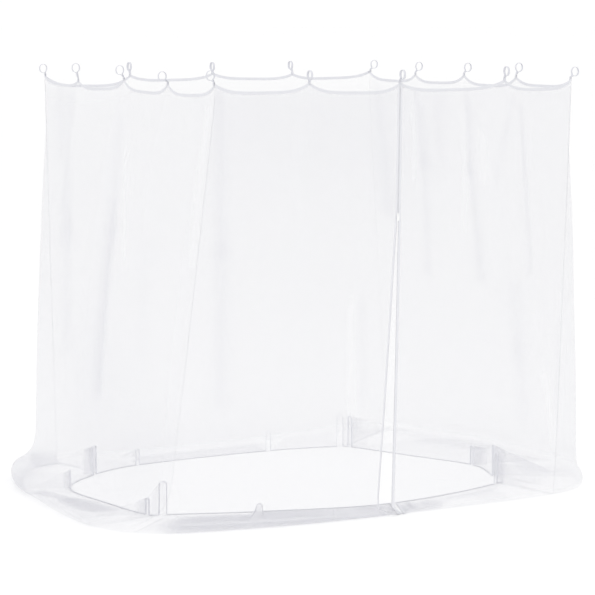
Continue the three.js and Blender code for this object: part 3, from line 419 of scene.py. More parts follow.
def pleats_of(wall):
    """Each pleat's start on the flat cloth with its sizes and cover, and the hem's length on the ground."""
    rows = [row for row in PLEATS if row[0] == wall]
    lying = PANEL_WIDTH - sum(2 * height + gap for _, _, height, gap, _ in rows)
    taken = 0.0
    pleats = []
    for _, along, height, gap, cover in rows:
        pleats.append((along * lying + taken, height, gap, cover))
        taken += 2 * height + gap
    return pleats, lying + sum(gap for _, _, _, gap, _ in rows)


def hem_point(at):
    """A point of the hem, which lies on the floor and runs up and over each pleat."""
    wall, along = wall_place(at)
    cloth = along * PANEL_WIDTH
    ground = cloth.copy()
    lift = np.zeros_like(cloth)
    length = np.ones_like(cloth)
    for w in range(WALLS):
        pleats, wall_ground = pleats_of(w)
        on = wall == w
        length[on] = wall_ground
        for start, height, gap, _ in pleats:
            past = np.where(on, np.clip(cloth - start, 0, 2 * height + gap), 0.0)
            up = np.minimum(past, height)
            over = np.clip(past - height, 0, gap)
            back = np.maximum(past - height - gap, 0)
            ground -= up + back
            lift += up - back + np.sin(np.pi * over / gap) * gap * PLEAT_CROWN
    place = wall + ground / length
    return np.stack([hem_x(place), hem_y(place), FLOOR + FLAP_REST + lift], -1)


# The zip from the top edge to the hem: share of the drop, gap between its tapes, and how far both swing
# along the wall.
ZIP_PLACE = FRONT + 0.5
ZIP_LEFT_SHARE = 0.8
ZIP_PULL_IN = 0.5
ZIP_SETTLES = 0.1
ZIP_TAPE_WIDTH = 0.016
SLIDER_DOWN = 0.31
SLIDER_LENGTH = 0.016
DROP_TO_BEND = -FLOOR - FLAP_REST - BEND_RADIUS * (1 + math.sin(BEND_LEAD))
ZIP_PARTING = SLIDER_DOWN - SLIDER_LENGTH / DROP_TO_BEND
ZIP_PARTED = SLIDER_DOWN - SLIDER_LENGTH / 2 / DROP_TO_BEND
ZIP_LINE = np.array([
    (0.0, 0.001, 0.0), (ZIP_PARTING, 0.001, -0.013), (ZIP_PARTED, 0.005, -0.013),
    (0.97, 0.079, -0.050), (2.0, 0.020, 0.042), (3.0, 0.022, 0.039),
])


def zip_shift(at, down):
    """How far the open zip and its swing move the cloth along the front wall."""
    away = (at - ZIP_PLACE) * PANEL_WIDTH
    drawn = np.clip(1 - np.abs(away) / ZIP_PULL_IN, 0, 1) ** 2
    gap = np.interp(down, ZIP_LINE[:, 0], ZIP_LINE[:, 1])
    sway = np.interp(down, ZIP_LINE[:, 0], ZIP_LINE[:, 2])
    side = np.sign(away)
    share = side * np.where(away < 0, ZIP_LEFT_SHARE, 1 - ZIP_LEFT_SHARE)
    settled = eased(down, ZIP_PARTED, ZIP_PARTED + ZIP_SETTLES)
    return (gap * (0.5 * side * (1 - settled) + share * settled) + sway) * drawn


def fold_out(at, down):
    """How far the bow and the long folds of a wall move it outwards."""
    wall, along = wall_place(at)
    held = eased(along, 0, CORNER_EASE) * eased(1 - along, 0, CORNER_EASE)
    bowed = np.clip((down - BOW_FROM) / (1 - BOW_FROM), 0, 1)
    out = WALL_BOW[wall] * np.maximum(np.sin(np.pi * bowed), 0) ** BOW_POWER
    for w, top, foot, start, stop, depth, width in FOLDS:
        across = np.exp(-(((along - (top + (foot - top) * down)) / width) ** 2))
        out = out + np.where(wall == w, depth * across * eased(down, start, start + FOLD_GROWS)
                             * (1 - eased(down, stop - FOLD_FADES, stop)), 0.0)
    return out * held


def soft_marks(rows, at, down, softness):
    """How far a table's marks move the cloth, and the cover that they add: partly painted shade and
    highlight.
    """
    wall, along = wall_place(at)
    across = along * PANEL_WIDTH
    length = cloth_length(down)
    out = np.zeros_like(across)
    cover = np.zeros_like(across)
    for w, place, start, last, stop, width, depth, extra in rows:
        first_across = place * PANEL_WIDTH
        first_length, last_length = cloth_length((start, stop))
        reach = ((last - place) * PANEL_WIDTH, last_length - first_length)
        share = (across - first_across) * reach[0] + (length - first_length) * reach[1]
        share = np.clip(share / (reach[0] ** 2 + reach[1] ** 2), 0, 1)
        away = np.hypot(across - first_across - share * reach[0], length - first_length - share * reach[1])
        soft = np.where(wall == w, np.exp(-((away / width) ** softness)), 0.0)
        out = out + depth * soft
        cover = cover + extra * soft
    return out, cover


def cloth_point(at, down):
    """A point of the cloth. down is 0 at the top edge, 1 where the wall ends, 2 on the floor and 3 at the
    hem."""
    at, down = np.broadcast_arrays(np.asarray(at, float), np.asarray(down, float))
    hem = hem_point(at)
    bend = floor_bend(at)[..., None]
    middle = np.concatenate([floor_x(at)[..., None], floor_y(at)[..., None], FLOOR + FLAP_REST + bend], -1)
    inward = hem - middle
    inward[..., 2] = 0
    inward = unit(inward)
    middle = middle + inward * bend
    share = down[..., None]
    top = top_point(at)
    foot = middle - inward * bend * math.cos(BEND_LEAD)
    foot[..., 2] += bend[..., 0] * math.sin(BEND_LEAD)
    hung = floor_hung(at)
    spread = hung * down * down * (1 + TOP_EASE) / (np.abs(down) + TOP_EASE)
    spread = (spread + (1 - hung) * np.clip(down, 0, 1) ** FLARE_POWER)[..., None]
    wall_part = top + (foot - top) * spread
    wall_part[..., 2] = top[..., 2] + (foot[..., 2] - top[..., 2]) * down
    wall, along = wall_place(at)
    crease = soft_marks(CREASES_AND_PAINTED_SHADE, at, down, CREASE_SOFT)[0]
    crease = crease * eased(along, 0, CORNER_EASE) * eased(1 - along, 0, CORNER_EASE)
    hanging = crease * eased(down, BOW_FROM, BOW_FROM + CREASE_EASE) * eased(1 - down, 0, CREASE_EASE)
    wall_part = wall_part + WALL_OUT[wall] * (fold_out(at, down) + hanging)[..., None]
    angle = -BEND_LEAD + (math.pi / 2 + BEND_LEAD) * (share - 1)
    bend_part = middle - inward * bend * np.cos(angle)
    bend_part = bend_part - UP * bend * np.sin(angle)
    flat = middle - UP * bend
    lying = crease * eased(down, 2, 2 + LYING_EASE) * eased(3 - down, 0, LYING_EASE)
    flap_part = flat + (hem - flat) * (share - 2) + UP * np.abs(lying)[..., None]
    point = np.where(share <= 1, wall_part, np.where(share <= 2, bend_part, flap_part))
    point[..., 0] += zip_shift(at, down)
    return point


PLACE_STEP = 0.0015 / PANEL_WIDTH
DOWN_STEP = 0.002


def cloth_normal(at, down):
    """The cloth's direction outwards, measured without crossing the zip."""
    at, down = np.broadcast_arrays(np.asarray(at, float), np.asarray(down, float))
    before = np.where((at > ZIP_PLACE) & (at - PLACE_STEP <= ZIP_PLACE), at, at - PLACE_STEP)
    after = np.where((at < ZIP_PLACE) & (at + PLACE_STEP >= ZIP_PLACE), at, at + PLACE_STEP)
    across = cloth_point(after, down) - cloth_point(before, down)
    along = cloth_point(at, down + DOWN_STEP) - cloth_point(at, down - DOWN_STEP)
    return unit(np.cross(along, across))


COLUMN_SPACING = 0.010
COLUMN_DIGITS = 6
TURN_COLUMNS = np.linspace(0, 1, 9)


def columns(first, last):
    """Places across a stretch of cloth, close together over the turns of each pleat."""
    count = 2 + int((last - first) * PANEL_WIDTH / COLUMN_SPACING)
    places = [np.linspace(first, last, count), loop_places]
    for wall in range(WALLS):
        for start, height, gap, _ in pleats_of(wall)[0]:
            bends = np.concatenate([start + height + gap * TURN_COLUMNS, [start, start + 2 * height + gap]])
            places.append(wall + bends / PANEL_WIDTH)
    places = np.unique(np.round(np.concatenate(places), COLUMN_DIGITS))
    return places[(places >= first) & (places <= last)]


# Rows of the cloth's grid: where a stretch of the drop begins and ends, and how many rows it has.
ROW_STRETCHES = [(0.0, 0.84, 90), (0.85, 1.0, 30), (1.1, 2.0, 10), (2.04, 3.0, 25)]
ROWS_DOWN = np.concatenate([np.linspace(*stretch) for stretch in ROW_STRETCHES])
SAME_POINT = 1e-6


def grid_mesh(name, points, cloth, **values):
    """A mesh over a grid of points, with the cloth's own measures as its UV map and values at its points."""
    index = np.arange(points.shape[0] * points.shape[1]).reshape(points.shape[:2])
    quads = np.stack([index[:-1, :-1], index[:-1, 1:], index[1:, 1:], index[1:, :-1]], -1).reshape(-1, 4)
    mesh = bpy.data.meshes.new(name)
    mesh.from_pydata(points.reshape(-1, 3).tolist(), [], quads.tolist())
    mesh.uv_layers.new(name="cloth").data.foreach_set("uv", cloth.reshape(-1, 2)[quads.ravel()].ravel())
    for key, value in values.items():
        mesh.attributes.new(key, "FLOAT", "POINT").data.foreach_set("value", value.ravel().astype(np.float32))
    mesh.polygons.foreach_set("use_smooth", np.ones(len(quads), bool))
    return mesh


def join_doubles(mesh, closed=False):
    """Joins points that lie on each other. A closed shell also gets its faces turned outwards."""
    shape = bmesh.new()
    shape.from_mesh(mesh)
    bmesh.ops.remove_doubles(shape, verts=shape.verts, dist=SAME_POINT)
    if closed:
        bmesh.ops.recalc_face_normals(shape, faces=shape.faces)
    shape.to_mesh(mesh)
    shape.free()


def add_piece(name, mesh, finish):
    piece = bpy.data.objects.new(name, mesh)
    mesh.materials.clear()
    mesh.materials.append(finish)
    studio.collection.objects.link(piece)
    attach(piece, "root")
    return piece


# How much of the view one layer of the net covers where it hangs and where it lies on the pale floor, what
# the pleats change of that, and the two lips of each corner seam, which are turned in and run out at the
# bindings. The marks of the crease table add painted shade and painted highlight to that cover.
NET_COVER = 0.166
LYING_COVER = 0.075
LIP_COVER = 0.06
LIP_DEPTH = 0.007
LEAST_COVER = 0.02
PLEAT_BLUR = 0.006
PLEAT_GATHERS = (2.82, 2.88)
PLEAT_SIDE_COVER = -0.045
PLEAT_SIDES = (2.0, 2.2)
LIP_ENDS = (0.012, 0.03, 2.5, 2.9)


# The cover of the net, with the painted shade and painted highlight of the crease marks in it.
def net_cover_with_painted_shade(at, down):
    cover = NET_COVER + (LYING_COVER - NET_COVER) * eased(down, 1.0, 2.0)
    cover = cover + soft_marks(CREASES_AND_PAINTED_SHADE, at, down, CREASE_SOFT)[1]
    cover = cover + soft_marks(LAYERS, at, down, LAYER_SOFT)[1]
    for wall in range(WALLS):
        for start, height, gap, doubled in pleats_of(wall)[0]:
            cloth = (at - wall) * PANEL_WIDTH - start
            taken = 2 * height + gap
            in_pleat = eased(cloth, -PLEAT_BLUR, PLEAT_BLUR)
            in_pleat = in_pleat * (1 - eased(cloth, taken - PLEAT_BLUR, taken + PLEAT_BLUR))
            gathered = eased(down, *PLEAT_GATHERS)
            on_side = eased(down, *PLEAT_SIDES) * (1 - gathered)
            cover = cover + in_pleat * (doubled * gathered + PLEAT_SIDE_COVER * on_side)
    return np.maximum(cover, LEAST_COVER)


def seam_inward(corner, down):
    """The way into the net half way between the two walls that meet at a corner."""
    before = cloth_normal(np.full(down.shape, corner - 2 * PLACE_STEP), down)
    after = cloth_normal(np.full(down.shape, corner + 2 * PLACE_STEP), down)
    return -unit(before + after)


def lip_depth(down):
    return LIP_DEPTH * eased(down, *LIP_ENDS[:2]) * (1 - eased(down, *LIP_ENDS[2:]))


# The finish of the net. Three waves at sixty degrees to each other leave six-sided holes between its yarns,
# and faint streaks run down it.
MESH_HOLE = 0.0018
MESH_TURNS = 4 * math.pi / (math.sqrt(3) * MESH_HOLE)
SIXTY = math.radians(60)
YARN_LEVEL = -0.85
YARN_EDGE = 2.5
YARN_MIDDLE = 0.5
YARN_BUMP = 0.3
YARN_HEIGHT = 0.0003
HOLE_SHARE = 0.3
YARN_GAIN = 2.08
STREAKS_PER_METRE = (22.0, 1.2, 1.0)
STREAK_DETAIL = 2.0
STREAK_SHARE = 0.2
NET_DARK = (0.63, 0.63, 0.68)
NET_PALE = (0.69, 0.69, 0.74)
ATTRIBUTE_VALUE = 2
net_finish, net_shader, yarn = new_finish("sheer_netting", roughness=0.85, Specular_IOR_Level=0.15)
net_place = yarn.node("ShaderNodeUVMap", uv_map="cloth")
net_across = yarn.node("ShaderNodeSeparateXYZ", {0: net_place}, out=0) * MESH_TURNS
net_along = yarn.node("ShaderNodeSeparateXYZ", {0: net_place}, out=1) * MESH_TURNS
turned_across = net_across * math.cos(SIXTY)
turned_along = net_along * math.sin(SIXTY)
six_sided = (yarn.math("COSINE", net_across) + yarn.math("COSINE", turned_across + turned_along)
             + yarn.math("COSINE", turned_across - turned_along))
net_yarns = yarn.math("ADD", (YARN_LEVEL - six_sided) * YARN_EDGE, YARN_MIDDLE, clamp=True)
streak_place = yarn.node("ShaderNodeVectorMath", {0: net_place, 1: STREAKS_PER_METRE}, operation="MULTIPLY")
net_streaks = yarn.node("ShaderNodeTexNoise", {"Vector": streak_place, "Scale": 1.0, "Detail": STREAK_DETAIL})
# The cover attribute brings the net's sheerness together with the painted shade and painted highlight of the
# crease marks.
net_covers = yarn.node("ShaderNodeAttribute", attribute_name="cover", out=ATTRIBUTE_VALUE)
net_uneven = 1 - STREAK_SHARE / 2 + STREAK_SHARE * net_streaks
(net_covers * (HOLE_SHARE + YARN_GAIN * net_yarns) * net_uneven).feeds(net_shader, "Alpha")
yarn.between(net_streaks, NET_DARK, NET_PALE).feeds(net_shader, "Base Color")
yarn.node("ShaderNodeBump", {"Height": net_yarns, "Strength": YARN_BUMP,
                             "Distance": YARN_HEIGHT}).feeds(net_shader, "Normal")

PANELS = [
    ("front_left", FRONT, ZIP_PLACE - ZIP_TAPE_WIDTH / PANEL_WIDTH),
    ("front_right", ZIP_PLACE + ZIP_TAPE_WIDTH / PANEL_WIDTH, RIGHT),
    ("right", RIGHT, BACK),
    ("back", BACK, LEFT),
    ("left", LEFT, WALLS),
]
LIP_STEPS = np.array([1.0, 0.5])
for panel, first, last in PANELS:
    at, down = np.meshgrid(columns(first + EDGE_INSET, last - EDGE_INSET), ROWS_DOWN, indexing="ij")
    points = cloth_point(at, down)
    steps = np.linalg.norm(np.diff(points, axis=1), axis=-1).mean(0)
    length = np.concatenate([[0.0], np.cumsum(steps)])
    cloth = np.stack([at * PANEL_WIDTH, np.broadcast_to(length, at.shape)], -1)
    cover = net_cover_with_painted_shade(at, down)
    # An edge at a corner of the net gets a lip. An edge at the zip has none.
    for corner, edge, step, order in ((first, 0, -1, 1), (last, -1, 1, -1)):
        if corner != round(corner):
            continue
        depth = lip_depth(ROWS_DOWN)[None, :] * LIP_STEPS[::order, None]
        lip = points[edge][None] + seam_inward(corner, ROWS_DOWN)[None] * depth[..., None]
        flat = np.stack([cloth[edge][None, :, 0] + step * depth, np.broadcast_to(length, depth.shape)], -1)
        covers = np.where(depth > 0, LIP_COVER, cover[edge][None])
        ends = (lip, points), (flat, cloth), (covers, cover)
        points, cloth, cover = (np.concatenate(pair[::order], 0) for pair in ends)
    mesh = grid_mesh("net_" + panel, points, cloth, cover=cover)
    join_doubles(mesh)
    add_piece("net_" + panel, mesh, net_finish)
    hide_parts("wall_" + panel)

# Zip. Two narrow woven tapes sewn to the front halves, with a nylon coil along their meeting edges. It is
# closed above the slider and open below it.
RIB_PITCH = 0.0012
RIB_HALF = 0.5
RIB_SHARE = 0.6
RIB_BUMP = 0.5
RIB_HEIGHT = 0.0002
WEAR_SCALE = 14.0
WEAR_DETAIL = 3.0


def woven_tape(name, dark, pale):
    """A finish of close cross ribs, a little uneven along the tape."""
    finish, shader, weft = new_finish(name, roughness=0.8, Specular_IOR_Level=0.2)
    place = weft.node("ShaderNodeUVMap", uv_map="cloth")
    along = weft.node("ShaderNodeSeparateXYZ", {0: place}, out=0) / RIB_PITCH
    across = weft.node("ShaderNodeSeparateXYZ", {0: place}, out=1) / RIB_PITCH
    ribs = weft.math("PINGPONG", along, RIB_HALF) * weft.math("PINGPONG", across, RIB_HALF) * RIB_HALF ** -2
    wear = weft.node("ShaderNodeTexNoise", {"Vector": place, "Scale": WEAR_SCALE, "Detail": WEAR_DETAIL})
    weft.between(RIB_SHARE * ribs + (1 - RIB_SHARE) * wear, dark, pale).feeds(shader, "Base Color")
    bump = weft.node("ShaderNodeBump", {"Height": ribs, "Strength": RIB_BUMP, "Distance": RIB_HEIGHT})
    bump.feeds(shader, "Normal")
    return finish


ZIP_DARK = (0.77, 0.775, 0.81)
ZIP_PALE = (0.86, 0.865, 0.89)
zip_finish = woven_tape("zip_tape_weave", ZIP_DARK, ZIP_PALE)
ZIP_TAPE_THICKNESS = 0.0008
ZIP_TAPE_COLUMNS = 6
zip_tapes = {}
for side, first, last in (("left", ZIP_PLACE - ZIP_TAPE_WIDTH / PANEL_WIDTH, ZIP_PLACE),
                          ("right", ZIP_PLACE, ZIP_PLACE + ZIP_TAPE_WIDTH / PANEL_WIDTH)):
    places = np.linspace(first + EDGE_INSET, last - EDGE_INSET, ZIP_TAPE_COLUMNS)
    at, down = np.meshgrid(places, ROWS_DOWN, indexing="ij")
    points = cloth_point(at, down)
    cloth = np.stack([cloth_length(down), at * PANEL_WIDTH], -1)
    mesh = grid_mesh("zip_tape_cloth_" + side, points, cloth)
    zip_tapes[side] = add_piece("zip_tape_cloth_" + side, mesh, zip_finish)
    thicken = zip_tapes[side].modifiers.new("thickness", "SOLIDIFY")
    thicken.thickness = ZIP_TAPE_THICKNESS
    thicken.offset = 0.0
    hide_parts("zip_tape_" + side)


def row_tree(name, sizes, make_shape):
    """Geometry Nodes that set one small shape along paths, turned to the path and to its outward side."""
    tree = bpy.data.node_groups.new(name, "GeometryNodeTree")
    tree.interface.new_socket("Paths", in_out="INPUT", socket_type="NodeSocketGeometry")
    for size, kind in sizes.items():
        tree.interface.new_socket(size, in_out="INPUT", socket_type=kind)
    tree.interface.new_socket("Rows", in_out="OUTPUT", socket_type="NodeSocketGeometry")
    work = Shade(tree)
    inputs = work.node("NodeGroupInput").socket.node
    given = {socket.name: Shade(tree, socket) for socket in inputs.outputs if socket.name}
    curve = work.node("GeometryNodeMeshToCurve", {"Mesh": given["Paths"]})
    curve = work.node("GeometryNodeResampleCurve", {"Curve": curve, "Length": given["Pitch"]}, mode="LENGTH")
    side = work.node("GeometryNodeInputNamedAttribute", {"Name": "side"}, data_type="FLOAT_VECTOR")
    tangent = work.node("GeometryNodeInputTangent")
    turned = work.node("FunctionNodeAlignRotationToVector", {"Vector": tangent}, axis="Z")
    turned = work.node("FunctionNodeAlignRotationToVector", {"Rotation": turned, "Vector": side}, axis="X",
                       pivot_axis="Z")
    rows = work.node("GeometryNodeInstanceOnPoints", {"Points": curve, "Instance": make_shape(work, given),
                                                      "Rotation": turned})
    rows = work.node("GeometryNodeRealizeInstances", {"Geometry": rows})
    rows = work.node("GeometryNodeSetMaterial", {"Geometry": rows, "Material": given["Finish"]})
    rows.feeds(tree.nodes.new("NodeGroupOutput"), "Rows")
    return tree


def row_piece(name, tree, paths, sizes, finish):
    """Runs a tree along paths, each its points and their sides, and keeps the result as a plain mesh."""
    mesh = bpy.data.meshes.new(name + "_paths")
    counts = [len(line) for line, _ in paths]
    firsts = np.concatenate([[0], np.cumsum(counts)[:-1]])
    edges = [(i, i + 1) for first, count in zip(firsts, counts) for i in range(first, first + count - 1)]
    mesh.from_pydata(np.concatenate([line for line, _ in paths]).tolist(), edges, [])
    sides = np.concatenate([side for _, side in paths]).astype(np.float32)
    mesh.attributes.new("side", "FLOAT_VECTOR", "POINT").data.foreach_set("vector", sides.ravel())
    carrier = bpy.data.objects.new(name + "_paths", mesh)
    studio.collection.objects.link(carrier)
    rows = carrier.modifiers.new("rows", "NODES")
    rows.node_group = tree
    for socket in tree.interface.items_tree:
        if socket.name in sizes:
            rows[socket.identifier] = sizes[socket.name]
        elif socket.name == "Finish":
            rows[socket.identifier] = finish
    made = bpy.data.meshes.new_from_object(carrier.evaluated_get(bpy.context.evaluated_depsgraph_get()))
    bpy.data.objects.remove(carrier)
    made.name = name
    made.polygons.foreach_set("use_smooth", np.ones(len(made.polygons), bool))
    return add_piece(name, made, finish)


NYLON_GRAIN = 60.0
NYLON_DARK = (0.80, 0.80, 0.83)
NYLON_PALE = (0.86, 0.86, 0.88)
nylon_finish = grained_finish("nylon_coil", NYLON_GRAIN, NYLON_DARK, NYLON_PALE, roughness=0.4,
                              Specular_IOR_Level=0.4)
COIL_PITCH = 0.0024
COIL_HALF = (0.0019, 0.0011, 1.0)
COIL_WIRE = 0.00035
COIL_INSET = 0.0012
COIL_OUT = 0.0013
COIL_ENDS = (0.008, 2.96)
COIL_POINTS = 600
TURN_SIDES = 7
WIRE_SIDES = 3


def coil_turn(work, given):
    ring = work.node("GeometryNodeCurvePrimitiveCircle", {"Resolution": TURN_SIDES, "Radius": 1.0})
    ring = work.node("GeometryNodeTransform", {"Geometry": ring, "Scale": given["Half size"]})
    wire = work.node("GeometryNodeCurvePrimitiveCircle", {"Resolution": WIRE_SIDES, "Radius": given["Wire"]})
    return work.node("GeometryNodeCurveToMesh", {"Curve": ring, "Profile Curve": wire})


coil_tree = row_tree("coil_turns", {"Pitch": "NodeSocketFloat", "Half size": "NodeSocketVector",
                                    "Wire": "NodeSocketFloat", "Finish": "NodeSocketMaterial"}, coil_turn)
# The turns of the right coil stand half a pitch lower, between those of the left one.
for side, step, lower in (("left", -1, 0.0), ("right", 1, COIL_PITCH / 2)):
    down = np.linspace(COIL_ENDS[0] + lower / DROP_TO_BEND, COIL_ENDS[1], COIL_POINTS)
    at = np.full(down.shape, ZIP_PLACE + step * COIL_INSET / PANEL_WIDTH)
    normal = cloth_normal(at, down)
    line = cloth_point(at, down) + normal * COIL_OUT
    across = unit(np.cross(np.gradient(line, axis=0), normal))
    row_piece("zip_coil_" + side, coil_tree, [(line, across)],
              {"Pitch": COIL_PITCH, "Half size": COIL_HALF, "Wire": COIL_WIRE}, nylon_finish)

# Slider and pull. Two small mouldings of white plastic with rounded edges. The slider rides on the coil and
# the pull hangs from its bail.
MOULD_EDGE = 0.0004
MOULD_CORNER = math.radians(25)
MOULD_STEPS = 2
FLAT_CORNER = math.radians(1)
PLASTIC_GRAIN = 900.0
PLASTIC_DARK = (0.93, 0.93, 0.93)
PLASTIC_PALE = (0.97, 0.97, 0.97)
plastic_finish = grained_finish("white_moulded_plastic", PLASTIC_GRAIN, PLASTIC_DARK, PLASTIC_PALE,
                                roughness=0.35)
for node in ("zip_slider", "zip_pull"):
    shape = bmesh.new()
    shape.from_mesh(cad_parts[node].data)
    bmesh.ops.remove_doubles(shape, verts=shape.verts, dist=SAME_POINT)
    bmesh.ops.dissolve_limit(shape, angle_limit=FLAT_CORNER, verts=shape.verts, edges=shape.edges)
    mesh = bpy.data.meshes.new("moulded_" + node)
    shape.to_mesh(mesh)
    shape.free()
    moulding = add_piece("moulded_" + node, mesh, plastic_finish)
    rounding = moulding.modifiers.new("rounded_edges", "BEVEL")
    rounding.width = MOULD_EDGE
    rounding.segments = MOULD_STEPS
    rounding.angle_limit = MOULD_CORNER
    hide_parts(node)

# Bindings. A pale polyester tape folded over the top edge of each wall and a narrower one over the hem of
# each panel, sewn through all layers.
TAPE_THICKNESS = 0.0007
MOUTH_GAP = 0.0002
BINDING_DEPTH = {"top": 0.015, "hem": 0.009}
BINDING_HALF = {"top": 0.0016, "hem": 0.0011}
SEWN_SHARE = 0.75
THREAD_PROUD = 0.0001
# The hem binding's tones are paler than the top binding's. This is painted light that offsets the shade under
# and beside the hem binding where it lies close over the floor.
BINDING_DARK = {"top": (0.72, 0.725, 0.76), "hem": (0.77, 0.775, 0.81)}
BINDING_PALE = {"top": (0.82, 0.825, 0.85), "hem": (0.86, 0.865, 0.89)}
binding_finish = {edge_name: woven_tape(edge_name + "_binding_weave", dark, BINDING_PALE[edge_name])
                  for edge_name, dark in BINDING_DARK.items()}
FOLD_STEPS = np.linspace(0, math.pi, 7)
SHARP_CORNER = math.radians(50)


def swept_mesh(name, points, cloth):
    """A closed shell through rings of points, with its ends capped."""
    rings, sides = points.shape[:2]
    index = np.arange(rings * sides).reshape(rings, sides)
    after = np.roll(index, -1, axis=1)
    quads = np.stack([index[:-1], after[:-1], after[1:], index[1:]], -1).reshape(-1, 4)
    corners = np.stack([cloth[:-1, :-1], cloth[:-1, 1:], cloth[1:, 1:], cloth[1:, :-1]], 2).reshape(-1, 2)
    corners = np.concatenate([corners, cloth[0, :-1][::-1], cloth[-1, :-1]])
    mesh = bpy.data.meshes.new(name)
    caps = [index[0, ::-1].tolist(), index[-1].tolist()]
    mesh.from_pydata(points.reshape(-1, 3).tolist(), [], quads.tolist() + caps)
    mesh.uv_layers.new(name="cloth").data.foreach_set("uv", corners.ravel())
    join_doubles(mesh, closed=True)
    mesh.polygons.foreach_set("use_smooth", np.ones(len(mesh.polygons), bool))
    mesh.set_sharp_from_angle(angle=SHARP_CORNER)
    return mesh


def binding_mesh(name, places, edge, depth, half, length):
    """A tape folded over an edge of the cloth and sewn flat on it, as a narrow U swept along the edge."""
    inside = half - TAPE_THICKNESS
    mouth = MOUTH_GAP + TAPE_THICKNESS
    section = [(mouth, -depth)]
    section += [(half * math.cos(a), half * math.sin(a)) for a in FOLD_STEPS]
    section += [(-mouth, -depth), (-MOUTH_GAP, -depth)]
    section += [(-inside * math.cos(a), inside * math.sin(a)) for a in FOLD_STEPS]
    section += [(MOUTH_GAP, -depth)]
    out = np.array([s[0] for s in section])
    past = np.array([s[1] for s in section])
    at, _ = np.meshgrid(places, out, indexing="ij")
    down = edge + past[None, :] / length[:, None]
    facing = cloth_normal(at, edge + np.minimum(past, 0)[None, :] / length[:, None])
    points = cloth_point(at, down) + facing * out[None, :, None]
    around = np.concatenate([[0], np.cumsum(np.hypot(np.diff(out), np.diff(past)))])
    around = np.append(around, around[-1] + TAPE_THICKNESS)
    cloth = np.stack(np.broadcast_arrays(places[:, None] * PANEL_WIDTH, around[None, :]), -1)
    return swept_mesh(name, points, cloth)


def wall_length(at):
    """The drop of the walls, negative because the top binding reaches down from its edge."""
    return np.full(at.shape, -DROP_TO_BEND)


def flap_length(at):
    """How far the cloth reaches in over the floor."""
    return np.linalg.norm(cloth_point(at, 3.0) - cloth_point(at, 2.0), axis=-1)


binding_rows = {"top": [], "hem": []}


def add_binding(edge_name, part, first, last, edge, length_of):
    """One bound edge, and the line of its stitches on both faces."""
    depth = BINDING_DEPTH[edge_name]
    half = BINDING_HALF[edge_name]
    places = columns(first + EDGE_INSET, last - EDGE_INSET)
    name = edge_name + "_binding_" + part
    mesh = binding_mesh(name, places, edge, depth, half, length_of(places))
    add_piece(name, mesh, binding_finish[edge_name])
    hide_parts(edge_name + "_tape_" + part)
    down = edge - SEWN_SHARE * depth / length_of(places)
    normal = cloth_normal(places, down)
    sewn_out = half + (MOUTH_GAP + TAPE_THICKNESS - half) * SEWN_SHARE + THREAD_PROUD
    for face in (1, -1):
        line = cloth_point(places, down) + normal * face * sewn_out
        binding_rows[edge_name].append((line, normal))


for part, wall in (("front", FRONT), ("right", RIGHT), ("back", BACK), ("left", LEFT)):
    add_binding("top", part, wall, wall + 1, 0.0, wall_length)
for panel, first, last in PANELS:
    start = ZIP_PLACE if panel == "front_right" else first
    stop = ZIP_PLACE if panel == "front_left" else last
    add_binding("hem", panel, start, stop, 3.0, flap_length)

# Hanging loops. Each is a short length of pale polyester tape, bent into a ring and sewn astride the top
# binding through both its legs. There is one at each corner and three more along each wall.
LOOP_TAPE_WIDTH = 0.014
LOOP_TAPE_THICKNESS = 0.0022
LOOP_RADIUS = 0.0229
LOOP_STRETCH = 1.1
LOOP_NECK_HEIGHT = 0.006
LOOP_NECK_SPREAD = 0.2
LOOP_LEG_LENGTH = 0.011
LOOP_LEG_OUT = 0.0030
LOOP_STEPS = 44
CORNER_INSET = 0.012
CORNER_CLEAR = 0.0015
EDGE_TO_SEAT = 0.0025
LEG_STEPS = (-LOOP_LEG_LENGTH, -0.004, 0.001)
LEG_SEAMS = (-0.003, -0.0085)
LOOP_DARK = (0.68, 0.685, 0.73)
LOOP_PALE = (0.78, 0.785, 0.82)
loop_finish = woven_tape("loop_tape_weave", LOOP_DARK, LOOP_PALE)


def loop_mesh(name, seat, out, lean, rise):
    """A band swept along the loop's path in the plane of the outward direction and the vertical."""
    towards_foot = math.atan2(-rise, -lean)
    turns = towards_foot - LOOP_NECK_SPREAD - np.linspace(0, 1, LOOP_STEPS) * 2 * (math.pi - LOOP_NECK_SPREAD)
    ring_out = lean + LOOP_RADIUS * np.cos(turns)
    ring_up = rise + LOOP_RADIUS * LOOP_STRETCH * np.sin(turns)
    ring = np.stack([ring_out, ring_up], -1)
    neck = (LOOP_TAPE_THICKNESS / 2, LOOP_NECK_HEIGHT)
    leg = np.array([(LOOP_LEG_OUT, height) for height in LEG_STEPS] + [neck])
    path = np.concatenate([leg * (-1, 1), ring, leg[::-1]])
    tangent = unit(np.gradient(path, axis=0))
    side = np.stack([-tangent[:, 1], tangent[:, 0]], -1) * LOOP_TAPE_THICKNESS / 2
    half = LOOP_TAPE_WIDTH / 2
    rim = half - LOOP_TAPE_THICKNESS / 2
    section = [(-half, 0), (-rim, 1), (rim, 1), (half, 0), (rim, -1), (-rim, -1)]
    across = np.cross(out, UP)
    rings = []
    for along, share in section:
        flat = path + side * share
        rings.append(seat + flat[:, :1] * out + flat[:, 1:] * UP + along * across)
    length = np.concatenate([[0], np.cumsum(np.linalg.norm(np.diff(path, axis=0), axis=1))])
    around = np.array([along for along, _ in section + section[:1]])
    cloth = np.stack(np.broadcast_arrays(length[:, None], around[None, :]), -1)
    return swept_mesh(name, np.stack(rings, 1), cloth)


